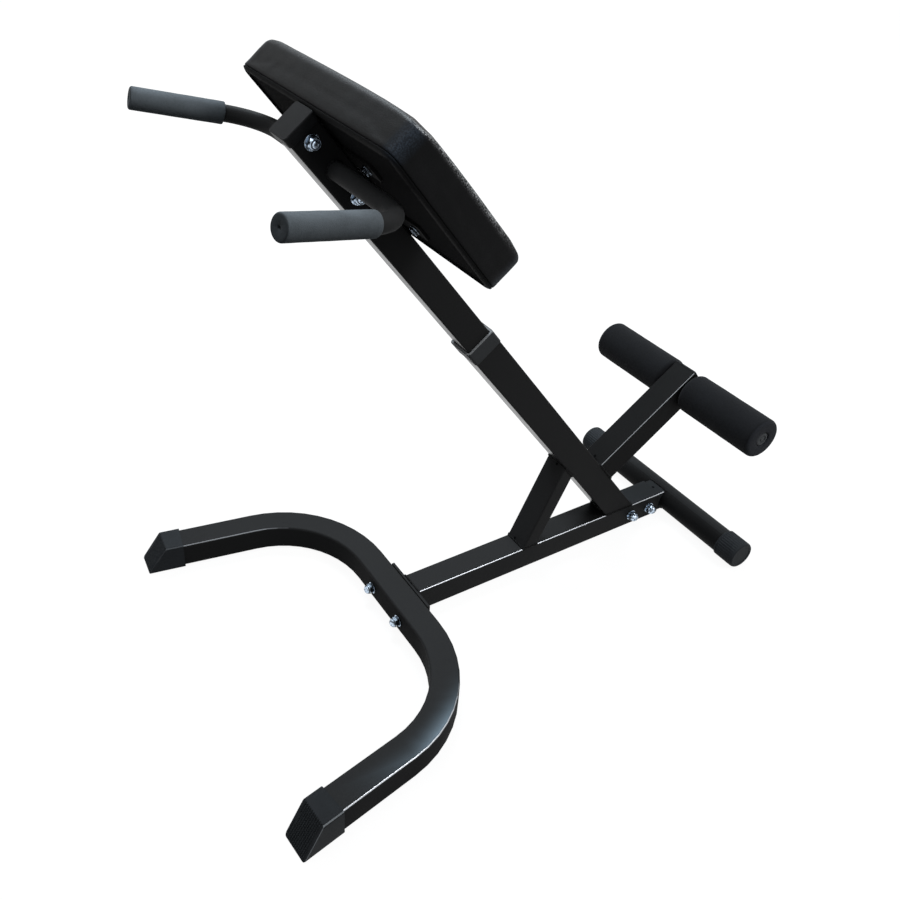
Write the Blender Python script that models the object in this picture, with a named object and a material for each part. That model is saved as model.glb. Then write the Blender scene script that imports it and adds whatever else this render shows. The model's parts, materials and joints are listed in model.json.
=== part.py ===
"""Hyperextension bench: a welded and bolted steel frame with a height-adjustable hip pad.

Metres, +Z up. X runs across the bench, with the near side at +X, and Y towards the leg rollers. The
pieces are placed from where the U-shaped base meets the beam, then moved together so that the origin
is on the floor under the middle of the bench.
"""
import math

import bmesh
import bpy
from mathutils import Matrix, Vector

# General
GAP = 0.0003               # between pieces that touch, are welded or are pressed together
FLOOR_CLEARANCE = 0.003    # from the floor to the steel of the base; the rubber caps fill it
EDGE = 0.001               # small chamfer on plastic caps

# Front base, a square tube bent into a U
BASE_TUBE = 0.050
BASE_WALL = 0.002
BASE_CORNER = 0.004
BASE_STRAIGHT = 0.204      # across the front of the beam, between the bends
BASE_BEND_RADIUS = 0.196
BASE_SPLAY = math.radians(10.6)
LEG_LENGTH = 0.1757         # from the bend to the tube's end, along the top edge
LEG_SLANT = 0.685          # how far the end runs forward for each unit of height going down
FOOT_CAP_COVER = 0.0317     # how much of the leg a rubber cap covers, along the top edge
FOOT_CAP_END = 0.0045
LEG_SKEW = 0.096            # how much further the end runs forward for each unit towards its outer side

# Beam along the floor, with its front plate
BEAM_TUBE = 0.050
BEAM_WALL = 0.002
BEAM_CORNER = 0.003
BEAM_LENGTH = 0.5865
PLATE_WIDTH = 0.128
PLATE_THICKNESS = 0.005
PLATE_CORNER = 0.002
BASE_BOLT_SPACING = 0.094

# Rear foot, a round tube on a stub that slides into the beam
REAR_FOOT_DIAMETER = 0.050
REAR_FOOT_WALL = 0.002
REAR_FOOT_LENGTH = 0.436
REAR_FOOT_STANDOFF = 0.0055             # from the beam's end to the foot tube
REAR_CAP_COVER = 0.041
REAR_CAP_END = 0.004
STUB_INSERT = 0.092
STUB_WALL = 0.002
STUB_CLEARANCE = 0.0004
REAR_BOLT_SETBACKS = (0.075, 0.027)     # from the beam's rear end

# Outer post and its plastic sleeve
POST_ANGLE = math.radians(52.5)         # above the floor, leaning forward
POST_SETBACK = 0.1092                   # from the beam's rear end to the post's axis
OUTER_POST_WIDTH = 0.050
OUTER_POST_DEPTH = 0.054
OUTER_POST_LENGTH = 0.605
POST_WALL = 0.0015
POST_CORNER = 0.003
SLEEVE_WALL = 0.0009
SLEEVE_INSERT = 0.060
COLLAR_HEIGHT = 0.030
COLLAR_LIP = 0.0015                     # how far the collar stands out from the outer post

# Inner post; places on it are measured down from its top end
INNER_POST_SHOWN = 0.526                # from the outer post's end to the top, at the middle hole
INNER_POST_INSERT = 0.205
TOP_CAP_SKIRT = 0.0125
TOP_CAP_WALL = 0.0016
TOP_CAP_END = 0.003
SIDE_BOLT_DROPS = (0.027, 0.134)

# Height lock: a pull pin on the far side of the outer post
LOCK_DROP = 0.085                       # below the outer post's end
LOCK_PITCH = 0.035
LOCK_HOLES_ABOVE = 5
LOCK_HOLES_BELOW = 1
PIN_DIAMETER = 0.009
PIN_REACH = 0.004                       # past the outside of the inner post
PIN_COLLAR_DIAMETER = 0.0125
PIN_COLLAR_THICKNESS = 0.002
HOUSING_DIAMETER = 0.018
HOUSING_LENGTH = 0.018
HOUSING_END = 0.003
KNOB_DIAMETER = 0.028
KNOB_LENGTH = 0.016
KNOB_STANDOFF = 0.001
KNOB_SOCKET = 0.010
KNOB_EDGE = 0.003

# Strut between the beam and the post
STRUT_ANGLE = math.radians(66.0)
STRUT_LEAD = 0.2243                     # from the post's foot forward to the strut's foot
STRUT_WIDTH = 0.050
STRUT_DEPTH = 0.031
STRUT_WALL = 0.002

# Roller arm, rod and foam rollers
ARM_ANGLE = math.radians(36.3)
ARM_HEIGHT = 0.1314                     # along the post, where the two axes meet
ARM_WIDTH = 0.050
ARM_DEPTH = 0.055
ARM_WALL = 0.002
ARM_REACH = 0.277                       # from the post's axis to the end of the tube
ARM_CAP_END = 0.004
ARM_CAP_CLEARANCE = 0.003               # from the cap's insert to the rod
ROD_SETBACK = 0.024                     # from the end of the arm's tube
ROD_DROP = 0.007                        # below the arm's axis
ROD_DIAMETER = 0.022
ROD_WALL = 0.0015
ROLLER_DIAMETER = 0.078
ROLLER_LENGTH = 0.175
ROLLER_STANDOFF = 0.003                 # from the arm's side
ROLLER_CLEARANCE = 0.0008               # round the rod
ROLLER_EDGE = 0.008
PLUG_DIAMETER = 0.026
PLUG_FLANGE = 0.004
PLUG_SHANK = 0.014
PLUG_RECESS = 0.0015                    # below the roller's end
PLUG_CLEARANCE = 0.001                  # round the flange, in the roller

# Handlebar and foam grips
HANDLE_DROP = 0.0805
HANDLE_DIAMETER = 0.025
HANDLE_WALL = 0.002
HANDLE_STRAIGHT = 0.302
HANDLE_BEND_RADIUS = 0.070
HANDLE_SPREAD = math.radians(11.4)      # each end points this far outwards
HANDLE_RISE = math.radians(14.7)        # and the bends climb this far above level
GRIP_LENGTH = 0.134
GRIP_DIAMETER = 0.0326
GRIP_END = 0.004
GRIP_EDGE = 0.003
GRIP_HOLE_DIAMETER = 0.005

# Hip pad on two cross brackets
BRACKET_DROPS = (0.083, 0.205)
BRACKET_LENGTH = 0.180
BRACKET_BAR = 0.030
BRACKET_THICKNESS = 0.004
PAD_BOLT_SPACING = 0.140
PAD_BOLT_BITE = 0.009                   # into the board
PAD_OVERHANG = 0.0075                   # the front edge, past the inner post's top
PAD_WIDTH = 0.420
PAD_LENGTH = 0.270
PAD_THICKNESS = 0.062
PAD_CORNER = 0.022
PAD_EDGE = 0.0105                        # rounding of the top edge
PAD_CROWN = 0.004
PAD_DRAW = 0.003                        # how far the sides draw in at the underside
BOARD_THICKNESS = 0.012
BOARD_MARGIN = 0.012                    # padding round the board's edge

# Fastener sizes
M8 = {"thread": 0.008, "flats": 0.013, "head": 0.0053, "flange": 0.017, "flange_thickness": 0.0015}
M10 = {"thread": 0.010, "flats": 0.017, "head": 0.0064, "nut": 0.0065, "collar": 0.0025,
       "washer": 0.022, "washer_thickness": 0.002, "dome_nut": 0.0155, "dome_hex": 0.008,
       "round_head": 0.022, "round_head_height": 0.005}
THREAD_CHAMFER = 0.001
THREAD_PAST_NUT = 0.0015

# Facets
CORNER_STEPS = 3
PAD_CORNER_STEPS = 6
PAD_CROWN_STEPS = 6
BEND_STEPS = 11
ROUND_SIDES = 32
SMALL_SIDES = 24
HANDLE_SIDES = 16
BOLT_SIDES = 12
DOME_STEPS = 4

# Worked out from the sizes above
BASE_AXIS_Z = FLOOR_CLEARANCE + BASE_TUBE / 2
BEAM_AXIS_Z = FLOOR_CLEARANCE + BEAM_TUBE / 2
BEAM_TOP_Z = FLOOR_CLEARANCE + BEAM_TUBE
BEAM_START_Y = PLATE_THICKNESS + 2 * GAP
BEAM_END_Y = BEAM_START_Y + BEAM_LENGTH
BASE_BOLT_Z = min(BASE_AXIS_Z, BEAM_AXIS_Z)
REAR_FOOT_RADIUS = REAR_FOOT_DIAMETER / 2
REAR_FOOT_Z = FLOOR_CLEARANCE + REAR_FOOT_RADIUS
REAR_FOOT_Y = BEAM_END_Y + REAR_FOOT_STANDOFF + REAR_FOOT_RADIUS
STUB_SIZE = BEAM_TUBE - 2 * (BEAM_WALL + STUB_CLEARANCE)
POST_TILT = math.pi / 2 - POST_ANGLE
POST_FOOT = Vector((0, BEAM_END_Y - POST_SETBACK, BEAM_TOP_Z))
POST_UP = Vector((0, -math.cos(POST_ANGLE), math.sin(POST_ANGLE)))
POST_BACK = Vector((0, math.sin(POST_ANGLE), math.cos(POST_ANGLE)))
POST_FIT = POST_WALL + SLEEVE_WALL + 2 * GAP
INNER_POST_WIDTH = OUTER_POST_WIDTH - 2 * POST_FIT
INNER_POST_DEPTH = OUTER_POST_DEPTH - 2 * POST_FIT
INNER_POST_TOP = OUTER_POST_LENGTH + INNER_POST_SHOWN
INNER_POST_LENGTH = INNER_POST_SHOWN + INNER_POST_INSERT
LOCK_HEIGHT = OUTER_POST_LENGTH - LOCK_DROP
STRUT_TILT = STRUT_ANGLE - math.pi / 2
STRUT_FOOT = Vector((0, POST_FOOT.y - STRUT_LEAD, BEAM_TOP_Z))
ARM_TILT = ARM_ANGLE - math.pi / 2
ARM_FOOT = POST_FOOT + POST_UP * ARM_HEIGHT
ROD_REACH = ARM_REACH - ROD_SETBACK
ROLLER_START = ARM_WIDTH / 2 + ROLLER_STANDOFF
ROLLER_RADIUS = ROLLER_DIAMETER / 2
PLUG_FACE = ROLLER_START + ROLLER_LENGTH - PLUG_RECESS
ROD_END = PLUG_FACE - PLUG_FLANGE - GAP
BRACKET_BACK = INNER_POST_DEPTH / 2 + GAP
PAD_BACK = BRACKET_BACK + BRACKET_THICKNESS + GAP
PAD_CENTRE = PAD_OVERHANG - PAD_LENGTH / 2

# Turns that point a piece's own Z another way
NO_TURN = (0, 0, 0)
TO_RIGHT = (0, math.pi / 2, 0)
TO_LEFT = (0, -math.pi / 2, 0)
TO_REAR = (-math.pi / 2, 0, 0)
TO_FRONT = (math.pi / 2, 0, 0)
SIDES = (("near", 1, TO_RIGHT), ("far", -1, TO_LEFT))

# Colour, roughness and metallic of each material
LOOKS = {
    "black_paint": ((0.013, 0.013, 0.014), 0.35, 0.0),
    "rubber": ((0.022, 0.024, 0.028), 0.7, 0.0),
    "plastic": ((0.020, 0.021, 0.025), 0.5, 0.0),
    "foam": ((0.014, 0.015, 0.017), 0.9, 0.0),
    "grip_foam": ((0.060, 0.062, 0.066), 0.9, 0.0),
    "vinyl": ((0.011, 0.011, 0.012), 0.45, 0.0),
    "board": ((0.22, 0.16, 0.10), 0.8, 0.0),
    "zinc": ((0.62, 0.64, 0.66), 0.3, 1.0),
}


# Outlines: lists of points in a piece's own XY plane

def rounded_rectangle(width, depth, corner, steps=CORNER_STEPS):
    points = []
    for quarter in range(4):
        side_x = 1 if quarter in (0, 3) else -1
        side_y = 1 if quarter in (0, 1) else -1
        for step in range(steps + 1):
            turn = (quarter + step / steps) * math.pi / 2
            points.append(((width / 2 - corner) * side_x + corner * math.cos(turn),
                           (depth / 2 - corner) * side_y + corner * math.sin(turn)))
    return points


def tube_outlines(width, depth, corner, wall):
    """The outer and inner outlines of a square or rectangular tube."""
    inner_corner = max(corner - wall, corner / 2)
    return (rounded_rectangle(width, depth, corner),
            rounded_rectangle(width - 2 * wall, depth - 2 * wall, inner_corner))


def circle(radius, sides):
    turns = [math.tau * i / sides for i in range(sides)]
    return [(radius * math.cos(turn), radius * math.sin(turn)) for turn in turns]


def hexagon(flats, sides):
    """A hexagon with extra points along its edges, to meet a circle of as many sides."""
    points = []
    for i in range(sides):
        turn = math.tau * i / sides
        off_flat = turn % (math.pi / 3) - math.pi / 6
        reach = flats / 2 / math.cos(off_flat)
        points.append((reach * math.cos(turn), reach * math.sin(turn)))
    return points


def hole_radius(diameter, sides):
    """A faceted hole that clears a round piece by the gap at its flats."""
    return (diameter / 2 + GAP) / math.cos(math.pi / sides)


def rounded_end(radius, end, edge):
    """(radius, height) pairs over a rounded rim, from the side up to the end face."""
    turns = [math.pi / 2 * i / DOME_STEPS for i in range(DOME_STEPS + 1)]
    return [(radius - edge + edge * math.cos(turn), end - edge + edge * math.sin(turn)) for turn in turns]


def dome(radius, start, rise):
    """(radius, height) pairs over a dome that ends in a small flat."""
    turns = [math.pi / 2 * i / (DOME_STEPS + 1) for i in range(DOME_STEPS + 1)]
    return [(radius * math.cos(turn), start + rise * math.sin(turn)) for turn in turns]


# Meshes

def ring(outline, height, slope=0.0):
    """The outline on a plane that crosses the piece's Z at height and climbs by slope along its Y."""
    return [Vector((x, y, height + slope * y)) for x, y in outline]


def circle_rings(profile, sides):
    """Rings from (radius, height) pairs."""
    return [ring(circle(radius, sides), height) for radius, height in profile]


def loft(rings, closed=False):
    """A body through rings of equal length, with a face over each end, or joined round if closed."""
    mesh = bmesh.new()
    rows = [[mesh.verts.new(point) for point in points] for points in rings]
    pairs = list(zip(rows, rows[1:]))
    if closed:
        pairs.append((rows[-1], rows[0]))
    for low, high in pairs:
        for i in range(len(low)):
            j = (i + 1) % len(low)
            mesh.faces.new((low[i], low[j], high[j], high[i]))
    if not closed:
        mesh.faces.new(rows[0])
        mesh.faces.new(rows[-1])
    bmesh.ops.recalc_face_normals(mesh, faces=mesh.faces)
    return mesh


def hollow(outer_rings, inner_rings):
    """An open tube: its outer skin, its bore and the two end faces."""
    return loft(outer_rings + inner_rings[::-1], closed=True)


def straight_tube(outlines, start, end):
    """An open tube between two planes, each a height and a slope."""
    outer, inner = outlines
    return hollow([ring(outer, *start), ring(outer, *end)], [ring(inner, *start), ring(inner, *end)])


def turned(profile, sides):
    """A solid of revolution about Z from (radius, height) pairs."""
    return loft(circle_rings(profile, sides))


def turned_ring(outer, inner, sides):
    """A ring of revolution about Z from outer and inner (radius, height) pairs, both going up."""
    return hollow(circle_rings(outer, sides), circle_rings(inner, sides))


def swept(outline, stations):
    """Rings of the outline at stations of position, sideways, upwards and slant vectors."""
    return [[spot + side * x + (up + slant) * y for x, y in outline] for spot, side, up, slant in stations]


def mirror(vector):
    return Vector((-vector.x, vector.y, vector.z))


def both_halves(half):
    """Stations from the far end to the near end, from those of the near half."""
    far = [(mirror(spot), mirror(side), up, mirror(slant)) for spot, side, up, slant in reversed(half)]
    return far + half


# Objects

def material(kind):
    found = bpy.data.materials.get(kind)
    if found:
        return found
    colour, roughness, metallic = LOOKS[kind]
    made = bpy.data.materials.new(kind)
    made.use_nodes = True
    shader = made.node_tree.nodes["Principled BSDF"]
    shader.inputs["Base Color"].default_value = (*colour, 1.0)
    shader.inputs["Roughness"].default_value = roughness
    shader.inputs["Metallic"].default_value = metallic
    made.diffuse_color = (*colour, 1.0)
    return made


def put(name, data, parent, location, rotation):
    made = bpy.data.objects.new(name, data)
    made.parent = parent
    made.location = location
    made.rotation_euler = rotation
    bpy.context.scene.collection.objects.link(made)
    return made


def frame(name, parent=None, location=(0, 0, 0), rotation=NO_TURN):
    """An empty that other pieces are placed from."""
    return put(name, None, parent, location, rotation)


def add(name, mesh, kind, parent=None, location=(0, 0, 0), rotation=NO_TURN):
    data = bpy.data.meshes.new(name)
    mesh.to_mesh(data)
    mesh.free()
    data.materials.append(material(kind))
    data.shade_smooth()
    data.set_sharp_from_angle(angle=math.radians(35))
    return put(name, data, parent, location, rotation)


def cut(piece, mesh):
    """Takes a mesh, given in the piece's own coordinates, out of the piece."""
    cutter = add(piece.name + "_cutter", mesh, "black_paint", piece.parent, piece.location,
                 piece.rotation_euler)
    cutter.hide_render = True
    cutter.display_type = "WIRE"
    modifier = piece.modifiers.new("holes", "BOOLEAN")
    modifier.operation = "DIFFERENCE"
    modifier.solver = "EXACT"
    modifier.object = cutter


def drill(piece, centres, diameter, length, turn=NO_TURN, sides=BOLT_SIDES):
    """Round holes at points of the piece, each along the direction that the turn gives."""
    radius = hole_radius(diameter, sides)
    rotation = Matrix.Rotation(turn[1], 4, "Y") @ Matrix.Rotation(turn[0], 4, "X")
    mesh = bmesh.new()
    for centre in centres:
        bit = turned([(radius, -length / 2), (radius, length / 2)], sides)
        bit.transform(Matrix.Translation(centre) @ rotation)
        data = bpy.data.meshes.new("bit")
        bit.to_mesh(data)
        bit.free()
        mesh.from_mesh(data)
        bpy.data.meshes.remove(data)
    cut(piece, mesh)


# Fasteners, each with its bearing face at zero on its own Z

def shank(size, length):
    """Rings down a bolt's shank, from its tip to the bearing face."""
    radius = size["thread"] / 2
    return circle_rings([(radius - THREAD_CHAMFER, length), (radius, length - THREAD_CHAMFER), (radius, 0)],
                        BOLT_SIDES)


def hex_bolt(size, length):
    outline = hexagon(size["flats"], BOLT_SIDES)
    head = [ring(outline, 0), ring(outline, THREAD_CHAMFER - size["head"])]
    return loft(shank(size, length) + head + circle_rings([(size["flats"] / 2, -size["head"])], BOLT_SIDES))


def flange_bolt(size, length):
    outline = hexagon(size["flats"], BOLT_SIDES)
    flange = size["flange"] / 2
    base = -size["flange_thickness"]
    head = circle_rings([(flange, 0), (flange, base)], BOLT_SIDES)
    return loft(shank(size, length) + head + [ring(outline, base), ring(outline, -size["head"])])


def round_head_bolt(size, length):
    head = dome(size["round_head"] / 2, 0, -size["round_head_height"])
    return loft(shank(size, length) + circle_rings(head, BOLT_SIDES))


def washer(size):
    outer = size["washer"] / 2
    inner = hole_radius(size["thread"], SMALL_SIDES)
    top = size["washer_thickness"]
    return turned_ring([(outer, 0), (outer, top)], [(inner, 0), (inner, top)], SMALL_SIDES)


def dome_nut(size, thread_reach):
    """A cap nut with a blind hole just deeper than the thread that reaches into it."""
    bore = hole_radius(size["thread"], SMALL_SIDES)
    outline = hexagon(size["flats"], SMALL_SIDES)
    cap = dome(size["flats"] / 2, size["dome_hex"], size["dome_nut"] - size["dome_hex"])
    hole = circle_rings([(bore, thread_reach + GAP), (bore, 0)], SMALL_SIDES)
    sides = [ring(outline, 0), ring(outline, size["dome_hex"] - EDGE)]
    return loft(hole + sides + circle_rings(cap, SMALL_SIDES))


def lock_nut(size):
    """A hexagon nut with the round collar that holds its locking ring."""
    bore = hole_radius(size["thread"], SMALL_SIDES)
    outline = hexagon(size["flats"], SMALL_SIDES)
    radius = size["flats"] / 2
    top = size["nut"] + size["collar"]
    outer = [ring(outline, 0), ring(outline, size["nut"] - EDGE)]
    outer += circle_rings([(radius, size["nut"]), (radius - EDGE, top)], SMALL_SIDES)
    return hollow(outer, circle_rings([(bore, 0), (bore, top)], SMALL_SIDES))


def dome_bolt_set(prefix, points, direction, across, turn):
    """Round-head bolts through pieces of the given thickness, with washers and cap nuts.

    Each point is the centre of the face that the washer lies on, and direction points out of it.
    """
    nut_seat = 2 * GAP + M10["washer_thickness"]
    thread_reach = M10["dome_hex"]
    head_seat = across + GAP
    length = head_seat + nut_seat + thread_reach
    for word, point in points:
        add(prefix + "_bolt_" + word, round_head_bolt(M10, length), "zinc", None,
            point - direction * head_seat, turn)
        add(prefix + "_washer_" + word, washer(M10), "zinc", None, point + direction * GAP, turn)
        add(prefix + "_cap_nut_" + word, dome_nut(M10, thread_reach), "zinc", None,
            point + direction * nut_seat, turn)


# Front base

def leg_station(reach, slanted, sign=1):
    """A place on a leg, its distance from the bend measured along the tube's top edge."""
    forward = Vector((math.sin(BASE_SPLAY) * sign, -math.cos(BASE_SPLAY), 0))
    side = Vector((math.cos(BASE_SPLAY) * sign, math.sin(BASE_SPLAY), 0))
    centre = Vector((BASE_STRAIGHT / 2 * sign, -BASE_TUBE / 2 - BASE_BEND_RADIUS, BASE_AXIS_Z))
    slope, skew = (LEG_SLANT, LEG_SKEW) if slanted else (0.0, 0.0)
    spot = centre + side * BASE_BEND_RADIUS + forward * (reach + slope * BASE_TUBE / 2)
    return (spot, side + forward * skew, Vector((0, 0, 1)), -forward * slope)


def base_stations():
    """Along the U, from the far leg's end round to the near leg's end."""
    centre = Vector((BASE_STRAIGHT / 2, -BASE_TUBE / 2 - BASE_BEND_RADIUS, BASE_AXIS_Z))
    half = []
    for step in range(BEND_STEPS + 1):
        turn = (math.pi / 2 - BASE_SPLAY) * step / BEND_STEPS
        out = Vector((math.sin(turn), math.cos(turn), 0))
        half.append((centre + out * BASE_BEND_RADIUS, out, Vector((0, 0, 1)), Vector((0, 0, 0))))
    half.append(leg_station(LEG_LENGTH, True))
    return both_halves(half)


def make_base():
    outer, inner = tube_outlines(BASE_TUBE, BASE_TUBE, BASE_CORNER, BASE_WALL)
    stations = base_stations()
    tube = add("u_base_tube", hollow(swept(outer, stations), swept(inner, stations)), "black_paint")
    bolts = [Vector((sign * BASE_BOLT_SPACING / 2, -BASE_TUBE / 2, BASE_BOLT_Z))
             for word, sign, turn in SIDES]
    drill(tube, bolts, M10["thread"], BASE_TUBE * 2, TO_REAR)
    for word, sign, turn in SIDES:
        add("foot_cap_" + word, loft(foot_cap_rings(sign)), "rubber")


def foot_cap_rings(sign):
    """A rubber cap over a leg's slanted end, closed at the front and flat underneath."""
    size = BASE_TUBE + 2 * FLOOR_CLEARANCE
    bore = BASE_TUBE + 2 * GAP
    tube_end = LEG_LENGTH + GAP
    cap_end = tube_end + FOOT_CAP_END
    start = leg_station(LEG_LENGTH - FOOT_CAP_COVER, False, sign)
    rings = swept(rounded_rectangle(bore, bore, BASE_CORNER), [leg_station(tube_end, True, sign), start])
    rings += swept(rounded_rectangle(size, size, BASE_CORNER + EDGE),
                   [start, leg_station(cap_end - EDGE, True, sign)])
    return rings + swept(rounded_rectangle(size - 2 * EDGE, size, BASE_CORNER),
                         [leg_station(cap_end, True, sign)])


# Beam and rear foot

def make_beam():
    outline = rounded_rectangle(PLATE_WIDTH, BEAM_TUBE, PLATE_CORNER)
    plate = add("beam_front_plate", loft([ring(outline, 0), ring(outline, PLATE_THICKNESS)]), "black_paint",
                None, (0, GAP, BEAM_AXIS_Z), TO_REAR)
    half = BASE_BOLT_SPACING / 2
    bolts = [Vector((sign * half, BEAM_AXIS_Z - BASE_BOLT_Z, 0)) for word, sign, turn in SIDES]
    drill(plate, bolts, M10["thread"], PLATE_THICKNESS * 4)
    points = [(word, Vector((sign * half, -BASE_TUBE, BASE_BOLT_Z))) for word, sign, turn in SIDES]
    dome_bolt_set("base", points, Vector((0, -1, 0)), BASE_TUBE + GAP + PLATE_THICKNESS, TO_FRONT)
    outlines = tube_outlines(BEAM_TUBE, BEAM_TUBE, BEAM_CORNER, BEAM_WALL)
    beam = add("main_beam", straight_tube(outlines, (0, 0), (BEAM_LENGTH, 0)), "black_paint", None,
               (0, BEAM_START_Y, BEAM_AXIS_Z), TO_REAR)
    drill(beam, [Vector((0, 0, BEAM_LENGTH - setback)) for setback in REAR_BOLT_SETBACKS], M10["thread"],
          BEAM_TUBE * 2, TO_RIGHT)


def make_stub():
    """The square stub of the rear foot, hollowed at its end to sit against the round tube."""
    outlines = tube_outlines(STUB_SIZE, STUB_SIZE, BEAM_CORNER, STUB_WALL)
    length = STUB_INSERT + REAR_FOOT_STANDOFF + REAR_FOOT_RADIUS
    stub = add("rear_stub", straight_tube(outlines, (0, 0), (length, 0)), "black_paint", None,
               (0, BEAM_END_Y - STUB_INSERT, BEAM_AXIS_Z), TO_REAR)
    drill(stub, [Vector((0, 0, STUB_INSERT - setback)) for setback in REAR_BOLT_SETBACKS], M10["thread"],
          BEAM_TUBE * 2, TO_RIGHT)
    radius = REAR_FOOT_RADIUS + GAP
    cope = turned([(radius, -BEAM_TUBE), (radius, BEAM_TUBE)], ROUND_SIDES)
    across = Matrix.Rotation(TO_RIGHT[1], 4, "Y")
    cope.transform(Matrix.Translation((0, BEAM_AXIS_Z - REAR_FOOT_Z, length)) @ across)
    cut(stub, cope)


def make_rear_foot():
    centre = (0, REAR_FOOT_Y, REAR_FOOT_Z)
    half = REAR_FOOT_LENGTH / 2
    bore = REAR_FOOT_RADIUS - REAR_FOOT_WALL
    tube = turned_ring([(REAR_FOOT_RADIUS, -half), (REAR_FOOT_RADIUS, half)], [(bore, -half), (bore, half)],
                       ROUND_SIDES)
    add("rear_foot_tube", tube, "black_paint", None, centre, TO_RIGHT)
    mouth = REAR_FOOT_RADIUS + GAP
    radius = REAR_FOOT_RADIUS + FLOOR_CLEARANCE
    profile = [(mouth, half + GAP), (mouth, half - REAR_CAP_COVER), (radius, half - REAR_CAP_COVER)]
    profile += rounded_end(radius, half + GAP + REAR_CAP_END, REAR_CAP_END / 2)
    for word, sign, turn in SIDES:
        add("rear_foot_cap_" + word, turned(profile, ROUND_SIDES), "rubber", None, centre, turn)
    points = [(word, Vector((BEAM_TUBE / 2, BEAM_END_Y - setback, BEAM_AXIS_Z)))
              for word, setback in zip(("front", "rear"), REAR_BOLT_SETBACKS)]
    dome_bolt_set("rear", points, Vector((1, 0, 0)), BEAM_TUBE, TO_RIGHT)


# Posts, sleeve and strut

def cut_plane(foot, tilt, point, normal):
    """Height and slope, in the frame of a tilted piece, of the plane through a point."""
    back = Vector((0, math.cos(tilt), math.sin(tilt)))
    up = Vector((0, -math.sin(tilt), math.cos(tilt)))
    return ((point - foot).dot(normal) / up.dot(normal), -back.dot(normal) / up.dot(normal))


def beam_top_plane(foot, tilt):
    return cut_plane(foot, tilt, foot + Vector((0, 0, GAP)), Vector((0, 0, 1)))


def make_outer_post(post):
    outlines = tube_outlines(OUTER_POST_WIDTH, OUTER_POST_DEPTH, POST_CORNER, POST_WALL)
    mesh = straight_tube(outlines, beam_top_plane(POST_FOOT, POST_TILT), (OUTER_POST_LENGTH, 0))
    tube = add("outer_post", mesh, "black_paint", post)
    drill(tube, [Vector((-OUTER_POST_WIDTH / 2, 0, LOCK_HEIGHT))], PIN_DIAMETER, POST_WALL * 6, TO_RIGHT)


def make_sleeve(post):
    """A plastic sleeve between the posts, with a collar on the outer post's end."""
    inside = 2 * (POST_WALL + GAP)
    width = OUTER_POST_WIDTH + 2 * COLLAR_LIP
    depth = OUTER_POST_DEPTH + 2 * COLLAR_LIP
    corner = POST_CORNER / 2
    liner = rounded_rectangle(OUTER_POST_WIDTH - inside, OUTER_POST_DEPTH - inside, corner)
    bore = rounded_rectangle(INNER_POST_WIDTH + 2 * GAP, INNER_POST_DEPTH + 2 * GAP, corner)
    collar = rounded_rectangle(width, depth, POST_CORNER + COLLAR_LIP)
    rim = rounded_rectangle(width - 2 * EDGE, depth - 2 * EDGE, POST_CORNER)
    bottom = OUTER_POST_LENGTH - SLEEVE_INSERT
    seat = OUTER_POST_LENGTH + GAP
    top = seat + COLLAR_HEIGHT
    outer = [ring(liner, bottom), ring(liner, seat), ring(collar, seat), ring(collar, top - EDGE),
             ring(rim, top)]
    add("post_sleeve", hollow(outer, [ring(bore, bottom), ring(bore, top)]), "plastic", post)


def make_strut():
    post_front = POST_FOOT - POST_BACK * (OUTER_POST_DEPTH / 2 + GAP)
    outlines = tube_outlines(STRUT_WIDTH, STRUT_DEPTH, POST_CORNER, STRUT_WALL)
    mesh = straight_tube(outlines, beam_top_plane(STRUT_FOOT, STRUT_TILT),
                         cut_plane(STRUT_FOOT, STRUT_TILT, post_front, POST_BACK))
    add("support_strut", mesh, "black_paint", None, STRUT_FOOT, (STRUT_TILT, 0, 0))


def make_inner_post(upper):
    outlines = tube_outlines(INNER_POST_WIDTH, INNER_POST_DEPTH, POST_CORNER, POST_WALL)
    tube = add("inner_post", straight_tube(outlines, (-INNER_POST_LENGTH, 0), (0, 0)), "black_paint", upper)
    through = INNER_POST_WIDTH * 2
    drill(tube, [Vector((0, 0, -HANDLE_DROP))], HANDLE_DIAMETER, through, TO_RIGHT, HANDLE_SIDES)
    drill(tube, [Vector((0, 0, -drop)) for drop in SIDE_BOLT_DROPS], M10["thread"], through, TO_RIGHT)
    lock = LOCK_HEIGHT - INNER_POST_TOP
    steps = range(-LOCK_HOLES_BELOW, LOCK_HOLES_ABOVE + 1)
    holes = [Vector((-INNER_POST_WIDTH / 2, 0, lock + step * LOCK_PITCH)) for step in steps]
    drill(tube, holes, PIN_DIAMETER, POST_WALL * 6, TO_RIGHT)


def make_top_cap(upper):
    width = INNER_POST_WIDTH + 2 * (GAP + TOP_CAP_WALL)
    depth = INNER_POST_DEPTH + 2 * (GAP + TOP_CAP_WALL)
    corner = POST_CORNER + TOP_CAP_WALL
    mouth = rounded_rectangle(INNER_POST_WIDTH + 2 * GAP, INNER_POST_DEPTH + 2 * GAP, POST_CORNER)
    outer = rounded_rectangle(width, depth, corner)
    rim = rounded_rectangle(width - 2 * EDGE, depth - 2 * EDGE, corner - EDGE)
    top = GAP + TOP_CAP_END
    rings = [ring(mouth, GAP), ring(mouth, -TOP_CAP_SKIRT), ring(outer, -TOP_CAP_SKIRT),
             ring(outer, top - EDGE), ring(rim, top)]
    add("top_cap", loft(rings), "plastic", upper)


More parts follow.
